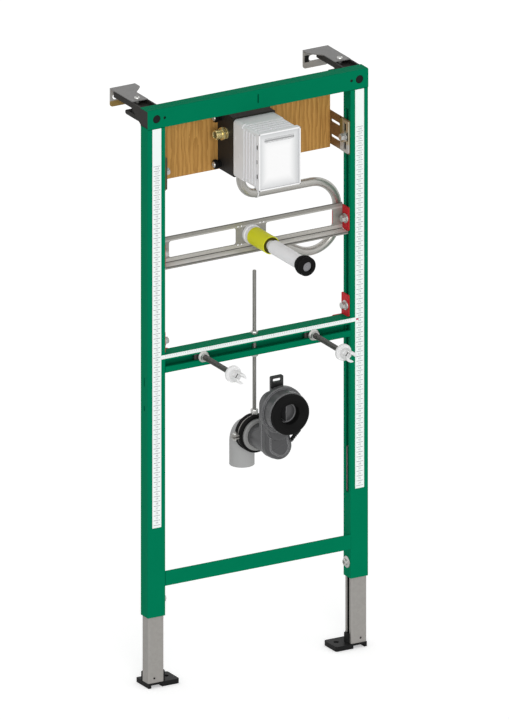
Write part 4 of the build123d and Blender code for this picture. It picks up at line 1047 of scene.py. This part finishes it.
@dataclass
class WallSide:
    """The screws of the two wall brackets, and a black block beside each anchor slot."""

    centre: float = 230.0
    screw_line: float = 78.0
    sheet_top: float = 1208.0
    flange_front: float = 153.0
    dark_block: tuple[float, float] = (193.5, 202.5)
    dark_block_levels: tuple[float, float] = (1182.0, 1196.0)
    dark_block_depth: float = 1.8

    def build(self) -> None:
        """Put a socket screw through each arm and a black block beside each anchor slot."""
        bottom, top = self.dark_block_levels
        for side, sign in SIDES:
            place = facing(sign * self.centre, self.screw_line, self.sheet_top, UP)
            parts = [(skin(head_rings(6.2, 3.4, 2.6)), place), (skin([(-9.0, 3.9), (0.2, 3.9)]), place)]
            add_piece(f"{side}_bracket_screw", parts, BRIGHT_ZINC)
            low, high = span(sign, *self.dark_block)
            front = self.flange_front - self.dark_block_depth
            dark_block = slab((low, front, bottom), (high, self.flange_front, top), 0.6)
            add_piece(f"{side}_slot_dark_block", [dark_block], BLACK_NYLON)


@dataclass
class ClampBolts:
    """The hexagon bolts with their washers and nut plates, three on each side, and the legs' screws.

    A site is a bolt's grip and level. A plate's gap is its distance inside the upright's inner face, and its
    reach is half its depth and half its height. A shadow sheet is near, far, front, back, bottom and top.
    """

    inner_face: float = 210.0
    slot_line: float = 15.0
    thread_reach: float = 7.3
    sites: tuple[tuple[float, float], ...] = ((5.0, 1069.0), (2.5, 898.0), (2.5, 716.3))
    leg_screw_level: float = 179.0
    plate_thickness: float = 5.0
    bolt_plate: Point = (2.3, 10.0, 11.0)
    leg_plate: Point = (4.6, 9.0, 9.0)
    # Dark sheets laid as painted shade: in each clamp's two windows, in two slots beside it, and in a bolt washer's
    # shadow.
    shadow_sheets: tuple[tuple[float, ...], ...] = (
        (207.3, 207.95, 10.6, 19.4, 1080.1, 1095.9),
        (207.3, 207.95, 10.6, 19.4, 1042.1, 1057.9),
        (207.75, 208.05, 34.2, 37.2, 1082.0, 1103.0),
        (207.75, 208.05, 34.2, 37.2, 1039.0, 1058.0),
        (204.85, 205.2, 3.2, 6.8, 1061.0, 1080.0),
    )

    def plate(self, sign: int, level: float, sizes: Point) -> Placed:
        """The nut plate behind a bolt, from its gap and its reach."""
        gap, deep, tall = sizes
        start = self.inner_face + gap
        low, high = span(sign, start, start + self.plate_thickness)
        return slab((low, self.slot_line - deep, level - tall), (high, self.slot_line + deep, level + tall), 0.8)

    def build(self) -> None:
        """Place the bolts and the legs' screws on both sides, and lay dark sheets as painted shade at the clamps."""
        bolts, screws, shadows = [], [], []
        for _, sign in SIDES:
            inwards = (-sign, 0, 0)
            for grip, level in self.sites:
                place = facing(sign * (self.inner_face - grip), self.slot_line, level, inwards)
                bolts.append((skin([(-grip - self.thread_reach, 4.0), *BOLT_HEAD]), place))
                bolts.append(self.plate(sign, level, self.bolt_plate))
            level = self.leg_screw_level
            screws.append((skin(LEG_SCREW), facing(sign * self.inner_face, self.slot_line, level, inwards)))
            screws.append(self.plate(sign, level, self.leg_plate))
            for near, far, front, back, low, high in self.shadow_sheets:
                start, end = span(sign, near, far)
                shadows.append(slab((start, front, low), (end, back, high), 0.1))
        add_piece("hexagon_clamp_bolts", bolts, BRIGHT_ZINC, ["clamp_bolts"])
        add_piece("socket_leg_screws", screws, BRIGHT_ZINC, ["leg_screws"])
        add_piece("clamp_window_shadows", shadows, DARK_GAP)


@dataclass
class ValveUnit:
    """The valve box's small mouldings, the mounts' screws and the threaded water inlet."""

    side_face: float = 47.5
    dimple: Point = (-9.0, -67.0, 1150.0)
    pads: tuple[tuple[float, float], ...] = ((9.0, 1114.0), (11.0, 1056.0), (-8.0, 1082.0))
    slit_levels: tuple[float, ...] = (1120.5, 1090.0, 1059.5)
    slit_half: float = 4.2
    rim_middle: float = 1090.0
    rim_half_height: float = 59.6
    rim_half_width: float = 47.1
    rim_bar: float = 2.5
    rim_front: float = -85.7
    rim_back: float = -84.6
    slot_half: float = 33.0
    nipple_depth: float = 44.0
    nipple_level: float = 1113.0
    thread_start: float = 12.8
    mount_face: float = 61.5
    mount_line: float = 67.0
    mount_levels: tuple[float, float] = (1042.0, 1139.5)

    def build(self) -> None:
        """Add everything on and beside the box."""
        self.mouldings()
        self.rim()
        self.mount_screws()
        self.inlet()

    def mouldings(self) -> None:
        """The dimple on top, the raised pads on the left side, and dark sheets as painted shade in the snap slits."""
        face = -self.side_face
        parts = [(skin(BOX_DIMPLE, steps=24), facing(*self.dimple, UP))]
        for y, z in self.pads:
            parts.append(slab((face - 0.45, y - 2.5, z - 3.5), (face + 0.5, y + 2.5, z + 3.5), 0.3))
        add_piece("box_mouldings", parts, WHITE_ABS)
        slits = []
        for level in self.slit_levels:
            low, high = level - self.slit_half, level + self.slit_half
            slits.append(slab((face - 0.05, -79.0, low), (face + 1.6, -76.6, high), 0.2))
        add_piece("box_snap_slit_shadows", slits, DARK_GAP)

    def rim(self) -> None:
        """Frame the cover with the box's white rim, and lay the shadow in its finger slot."""
        wide, tall, bar = self.rim_half_width, self.rim_half_height, self.rim_bar
        bars = (
            (-wide, -tall, -wide + bar, tall),
            (wide - bar, -tall, wide, tall),
            (-wide, tall - bar, wide, tall),
            (-wide, -tall, wide, -tall + bar),
        )
        middle, front, back = self.rim_middle, self.rim_front, self.rim_back
        parts = [
            slab((left, front, middle + low), (right, back, middle + high), 0.3) for left, low, right, high in bars
        ]
        add_piece("box_front_rim", parts, RIM_WHITE)
        half = self.slot_half
        slot = [
            slab((-half, -83.25, 1131.2), (half, -82.6, 1133.4), 0.15),
            slab((-half, -83.2, 1136.4), (half, -82.9, 1137.0), 0.1),
        ]
        add_piece("cover_slot_shadow", slot, SLOT_SHADE_GREY)

    def mount_screws(self) -> None:
        """A pan head screw in the mouth of each rubber mount."""
        parts = []
        for _, sign in SIDES:
            for level in self.mount_levels:
                place = facing(sign * self.mount_face, self.mount_line, level, (sign, 0, 0))
                parts.append((skin(head_rings(6.0, 2.7, 2.4), steps=36), place))
                parts.append((skin([(-15.0, 2.0), (0.1, 2.0)], steps=24), place))
        add_piece("mount_screws", parts, BRIGHT_ZINC)

    def inlet(self) -> None:
        """Turn the brass inlet with its hexagon, its rings and a real thread."""
        place = facing(-self.side_face, self.nipple_depth, self.nipple_level, (-1, 0, 0))
        body = skin(INLET_NIPPLE, hollow=True, steps=72)
        thread = Thread().mesh(BRASS, Radius=10.0, Depth=0.9, Pitch=1.814, Length=9.0)
        parts = [(body, place), (thread, place @ Matrix.Translation((0, 0, self.thread_start)))]
        add_piece("threaded_water_inlet", parts, BRASS, ["water_inlet_nipple"])


@dataclass
class StudPair:
    """The two threaded studs with their plates in the mounting rail's channel."""

    spacing: float = 250.0
    level: float = 674.0
    rear: float = 22.0
    length: float = 152.0
    core: float = 5.25
    chamfer: float = 0.8
    crest: float = 6.0
    depth: float = 1.1
    pitch: float = 1.75
    thread_start: float = 1.2
    plain_end: float = 2.5
    plate_half: tuple[float, float] = (15.0, 13.0)
    plate_front: float = 7.3
    plate_back: float = 12.3
    slit_half: tuple[float, float] = (5.5, 1.0)
    slit_rise: float = 1.6
    slit_angle: float = 51.0

    def build(self) -> None:
        """Place both studs."""
        core, end, cut = self.core, self.length, self.chamfer
        outline = ((0.0, core - cut), (cut, core), (end - cut, core), (end, core - cut))
        wide, tall = self.plate_half
        for side, sign in SIDES:
            x = sign * self.spacing / 2
            place = facing(x, self.rear, self.level, FRONT)
            thread = Thread().mesh(
                ROLLED_THREAD, Radius=self.crest, Depth=self.depth, Pitch=self.pitch, Length=end - self.plain_end
            )
            low = (x - wide, self.plate_front, self.level - tall)
            high = (x + wide, self.plate_back, self.level + tall)
            parts = [
                (skin(outline, steps=36), place),
                (thread, place @ Matrix.Translation((0, 0, self.thread_start))),
                slab(low, high, 0.8),
            ]
            add_piece(f"{side}_threaded_stud", parts, ROLLED_THREAD, [f"{side}_stud"])
            self.cap_web(side, x)

    def cap_web(self, side: str, x: float) -> None:
        """Close the cap in front of the stud's end, and lay a dark strip across it as painted shade of the slot's
        wall.

        Args:
            side: The side's name.
            x: The stud's place across.
        """
        end = self.rear - self.length
        web = (skin(CAP_WEB, steps=36), facing(x, end, self.level, FRONT))
        add_piece(f"{side}_cap_web", [web], CLOUDY_CAP)
        # A dark strip in the threaded bar's grey, laid across the cap as painted shade of the slot's wall.
        wide, tall = self.slit_half
        turn = Matrix.Rotation(-math.radians(self.slit_angle), 4, "Y")
        slit, _ = slab((-wide, -0.25, -tall), (wide, 0.0, tall), 0.1)
        place = Matrix.Translation((x, end - self.slit_rise, self.level)) @ turn
        add_piece(f"{side}_cap_slit_shadow", [(slit, place)], ROLLED_THREAD)


@dataclass
class DrainHanger:
    """The threaded rod that hangs the drain, its nuts, the clamp's screws and the rubber's beads."""

    line: float = 15.0
    rod_bottom: float = 524.0
    rod_top: float = 827.0
    core: float = 3.45
    chamfer: float = 0.6
    crest: float = 4.0
    depth: float = 0.8
    pitch: float = 1.25
    thread_start: float = 0.8
    plain_end: float = 2.0
    nut_across: float = 13.0
    nuts: tuple[tuple[float, float], ...] = ((693.5, 6.5), (647.5, 6.5), (526.0, 11.0))
    axis_level: float = 487.0
    screw_offset: float = 44.0
    head_rise: float = 4.0
    nut_drop: float = 7.6
    beads: tuple[tuple[float, float], ...] = ((7.9, 12.8), (17.2, 22.1))
    bead_inner: float = 36.9
    bead_edge: float = 37.9
    bead_outer: float = 38.3
    bead_rounding: float = 0.5

    def build(self) -> None:
        """Place the rod, the nuts, the screw heads and the beads."""
        self.rod()
        self.clamp_screws()
        self.rubber_beads()

    def rod(self) -> None:
        """Hang the rod with its nuts."""
        length = self.rod_top - self.rod_bottom
        place = facing(0.0, self.line, self.rod_bottom, UP)
        outline = ((0.0, self.core), (length - self.chamfer, self.core), (length, self.core - self.chamfer))
        core = skin(outline, steps=24)
        thread = Thread().mesh(
            ROD_STEEL, Radius=self.crest, Depth=self.depth, Pitch=self.pitch, Length=length - self.plain_end
        )
        parts = [(core, place), (thread, place @ Matrix.Translation((0, 0, self.thread_start)))]
        add_piece("threaded_drain_rod", parts, ROD_STEEL, ["drain_rod"])
        bore = self.crest - 0.1
        at_rod = facing(0.0, self.line, 0.0, UP)
        nuts = [
            (skin(nut_rings(self.nut_across, start, height, bore), hollow=True), at_rod) for start, height in self.nuts
        ]
        add_piece("hexagon_rod_nuts", nuts, BRIGHT_ZINC, ["rod_nuts"])

    def clamp_screws(self) -> None:
        """Put a screw head above and a nut below each of the clamp's ears."""
        heads = []
        for _, sign in SIDES:
            x = sign * self.screw_offset
            above = facing(x, self.line, self.axis_level + self.head_rise, UP)
            heads.append((skin(head_rings(4.6, 3.2, 1.8), steps=36), above))
            below = facing(x, self.line, self.axis_level - self.nut_drop, UP)
            heads.append((skin(nut_rings(8.0, 0.0, 3.6, 2.4), hollow=True), below))
        add_piece("clamp_screw_heads", heads, BRIGHT_ZINC)

    def rubber_beads(self) -> None:
        """Lay a rounded bead on each side of the clamp's band."""
        place = facing(0.0, 0.0, self.axis_level, (0, 1, 0))
        beads = []
        for start, end in self.beads:
            crown = ((start + self.bead_rounding, self.bead_outer), (end - self.bead_rounding, self.bead_outer))
            rise = ((start, self.bead_inner), (start, self.bead_edge))
            fall = ((end, self.bead_edge), (end, self.bead_inner))
            beads.append((skin([*rise, *crown, *fall], hollow=True, steps=96), place))
        add_piece("clamp_rubber_beads", beads, BLACK_RUBBER)


@dataclass
class FlushLine:
    """The white clip on the flush pipe, the seal's plug, a dark olive ring as painted shade inside the sleeve,
    and the traverse's folded lip with a dark strip as painted shade in its fold.
    """

    plane: float = 55.0
    level: float = 971.0
    clip: float = 25.0
    clip_width: float = 3.0
    clip_wall: float = 1.2
    clip_fit: float = 0.02
    pipe_radius: float = 9.0
    inlet_level: float = 899.0
    plug_back: float = -186.0
    plug_radius: float = 10.45
    shade_ring_back: float = -47.5
    lip_front: float = 5.0
    lip_thickness: float = 1.2
    lip_bottom: float = 868.0
    lip_top: float = 872.6
    lip_reach: float = 207.0
    fold_depths: tuple[float, float] = (27.2, 28.1)
    fold_levels: tuple[float, float] = (872.9, 873.8)

    def build(self) -> None:
        """Add the pieces along the pipe, and the traverse's folds."""
        outer, inner = self.pipe_radius + self.clip_wall, self.pipe_radius + self.clip_fit
        band = ((0.0, inner), (0.0, outer), (self.clip_width, outer), (self.clip_width, inner))
        clip = (skin(band, hollow=True), facing(self.clip, self.plane, self.level, (1, 0, 0)))
        add_piece("pipe_clip", [clip], WHITE_ABS)
        edge = self.plug_radius
        plug = skin([(0.0, edge), (3.6, edge), (4.4, edge - 0.8), (4.4, 3.0), (3.4, 2.2), (2.6, 0.6)])
        place = facing(0.0, self.plug_back, self.inlet_level, FRONT)
        add_piece("transport_plug", [(plug, place)], PLUG_GREY)
        # A dark olive ring set just inside the sleeve's mouth: painted shade of the sleeve's inside.
        ring = (skin(SLEEVE_SHADE_RING, hollow=True), facing(0.0, self.shade_ring_back, self.inlet_level, FRONT))
        add_piece("sleeve_inner_painted_shade_ring", [ring], SLEEVE_SHADE_OLIVE)
        self.folds()

    def folds(self) -> None:
        """Turn the traverse's lower flange down along its front edge, and lay painted shade in its corner with the
        web.
        """
        reach = self.lip_reach
        back = self.lip_front + self.lip_thickness
        lip = slab((-reach, self.lip_front, self.lip_bottom), (reach, back, self.lip_top), 0.35)
        add_piece("traverse_folded_lip", [lip], ROLLED_SHEET_PAINTED_LIGHT)
        (front, back), (low, high) = self.fold_depths, self.fold_levels
        line = slab((-reach, front, low), (reach, back, high), 0.2)
        add_piece("traverse_fold_painted_shade", [line], FOLD_SHADE_GREY)


@dataclass
class LegInnerShade:
    """A black strip inside each leg as painted shade: the leg's shadowed inside, seen through its slot."""

    centre: float = 230.0
    half_width: float = 15.4
    front: float = 25.15
    back: float = 25.65
    bottom: float = 14.0
    top: float = 414.0

    def build(self) -> None:
        """Lay one black strip as painted shade on the rear wall inside each leg."""
        for side, sign in SIDES:
            middle = sign * self.centre
            low = (middle - self.half_width, self.front, self.bottom)
            high = (middle + self.half_width, self.back, self.top)
            strip = slab(low, high, 0.15)
            add_piece(f"{side}_leg_inner_shade", [strip], BLACK_NYLON, body=f"{side}_leg")


@dataclass
class Studio:
    """The plain pale floor, the soft light and the camera at the photograph's angle."""

    aim: Point = (97.1, 182.7, 568.2)
    toward_camera: Point = (-0.4698, -0.8138, 0.3420)
    distance: float = 3000.0
    view_height: float = 1.4145
    view_depth: float = 60.0
    ambient: float = 0.68
    key: float = 1.12
    key_from: Point = (-0.37, -0.88, 0.24)
    key_spread: float = 28.0
    floor_radius: float = 24000.0
    floor_thickness: float = 4.0
    floor_drop: float = 0.5
    floor_tone: tuple[float, float, float, float] = (0.92, 0.92, 0.92, 1.0)
    floor_lift: float = 0.36

    def camera(self) -> None:
        """Set the parallel camera."""
        data = bpy.data.cameras.new("studio_camera")
        data.type = "ORTHO"
        data.ortho_scale = self.view_height
        data.clip_end = self.view_depth
        camera = new_object("studio_camera", data)
        back = Vector(self.toward_camera).normalized()
        camera.matrix_world = facing(*(TO_ROW @ (Vector(self.aim) + back * self.distance)), back)
        bpy.context.scene.camera = camera

    def light(self) -> None:
        """Light the object evenly, a little more from the front, before a white background."""
        world = bpy.data.worlds.new("studio_world")
        tree = fresh_tree(world)
        rays = add_node(tree, "ShaderNodeLightPath").outputs
        seen = reckon(tree, "MAXIMUM", rays["Is Camera Ray"], rays["Is Glossy Ray"])
        through = reckon(tree, "MAXIMUM", seen, rays["Is Transmission Ray"])
        fill, white = (
            add_node(tree, "ShaderNodeBackground", inputs={"Color": WHITE, "Strength": strength}).outputs[0]
            for strength in (self.ambient, 1.0)
        )
        both = add_node(tree, "ShaderNodeMixShader", inputs={0: through, 1: fill, 2: white})
        add_node(tree, "ShaderNodeOutputWorld", inputs={"Surface": both.outputs[0]})
        bpy.context.scene.world = world
        sun = bpy.data.lights.new("key_light", "SUN")
        sun.energy = self.key
        sun.angle = math.radians(self.key_spread)
        new_object("key_light", sun).matrix_world = towards(self.key_from)

    def floor(self) -> None:
        """Lay a wide pale floor that keeps the object's shadow."""
        disc = skin([(-self.floor_thickness, self.floor_radius), (0.0, self.floor_radius)], steps=60)
        mesh = joined("studio_floor", [(disc, Matrix.Translation((0, 0, -self.floor_drop)))])
        material = bpy.data.materials.new("studio_floor_white")
        tree = fresh_tree(material)
        seen = add_node(tree, "ShaderNodeLightPath").outputs["Is Camera Ray"]
        lift = reckon(tree, "MULTIPLY", seen, self.floor_lift)
        matt = add_node(tree, "ShaderNodeBsdfDiffuse", inputs={"Color": self.floor_tone})
        glow = add_node(tree, "ShaderNodeEmission", inputs={"Color": WHITE, "Strength": lift})
        both = add_node(tree, "ShaderNodeAddShader", inputs={0: matt.outputs[0], 1: glow.outputs[0]})
        add_node(tree, "ShaderNodeOutputMaterial", inputs={"Surface": both.outputs[0]})
        mesh.materials.append(material)
        floor = new_object("studio_floor", mesh)

    def build(self) -> None:
        """Set up the light and the floor; the camera is set first, on its own."""
        self.light()
        self.floor()
        bpy.context.scene.view_settings.view_transform = "Standard"


def dress_nodes(nodes: Mapping[str, bpy.types.Object]) -> None:
    """Give every CAD node its finish.

    Args:
        nodes: The CAD nodes by name.
    """
    for finish, names in NODE_FINISHES.items():
        for name in names:
            for slot in nodes[name].material_slots:
                slot.material = finish.material()
            log.info("dressed %s in %s", name, finish.name)


def main() -> None:
    """Load the frame, dress it, add the small pieces and set up the studio."""
    logging.basicConfig(level=logging.INFO, format="%(name)s: %(message)s")
    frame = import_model()
    studio = Studio()
    studio.camera()
    dress_nodes(frame["nodes"])
    for assembly in (
        SteelFrame(),
        Scales(),
        WallSide(),
        ClampBolts(),
        ValveUnit(),
        FlushLine(),
        StudPair(),
        DrainHanger(),
        LegInnerShade(),
    ):
        assembly.build()
        log.info("finished %s", type(assembly).__name__)
    studio.build()


if __name__ == "__main__":
    main()
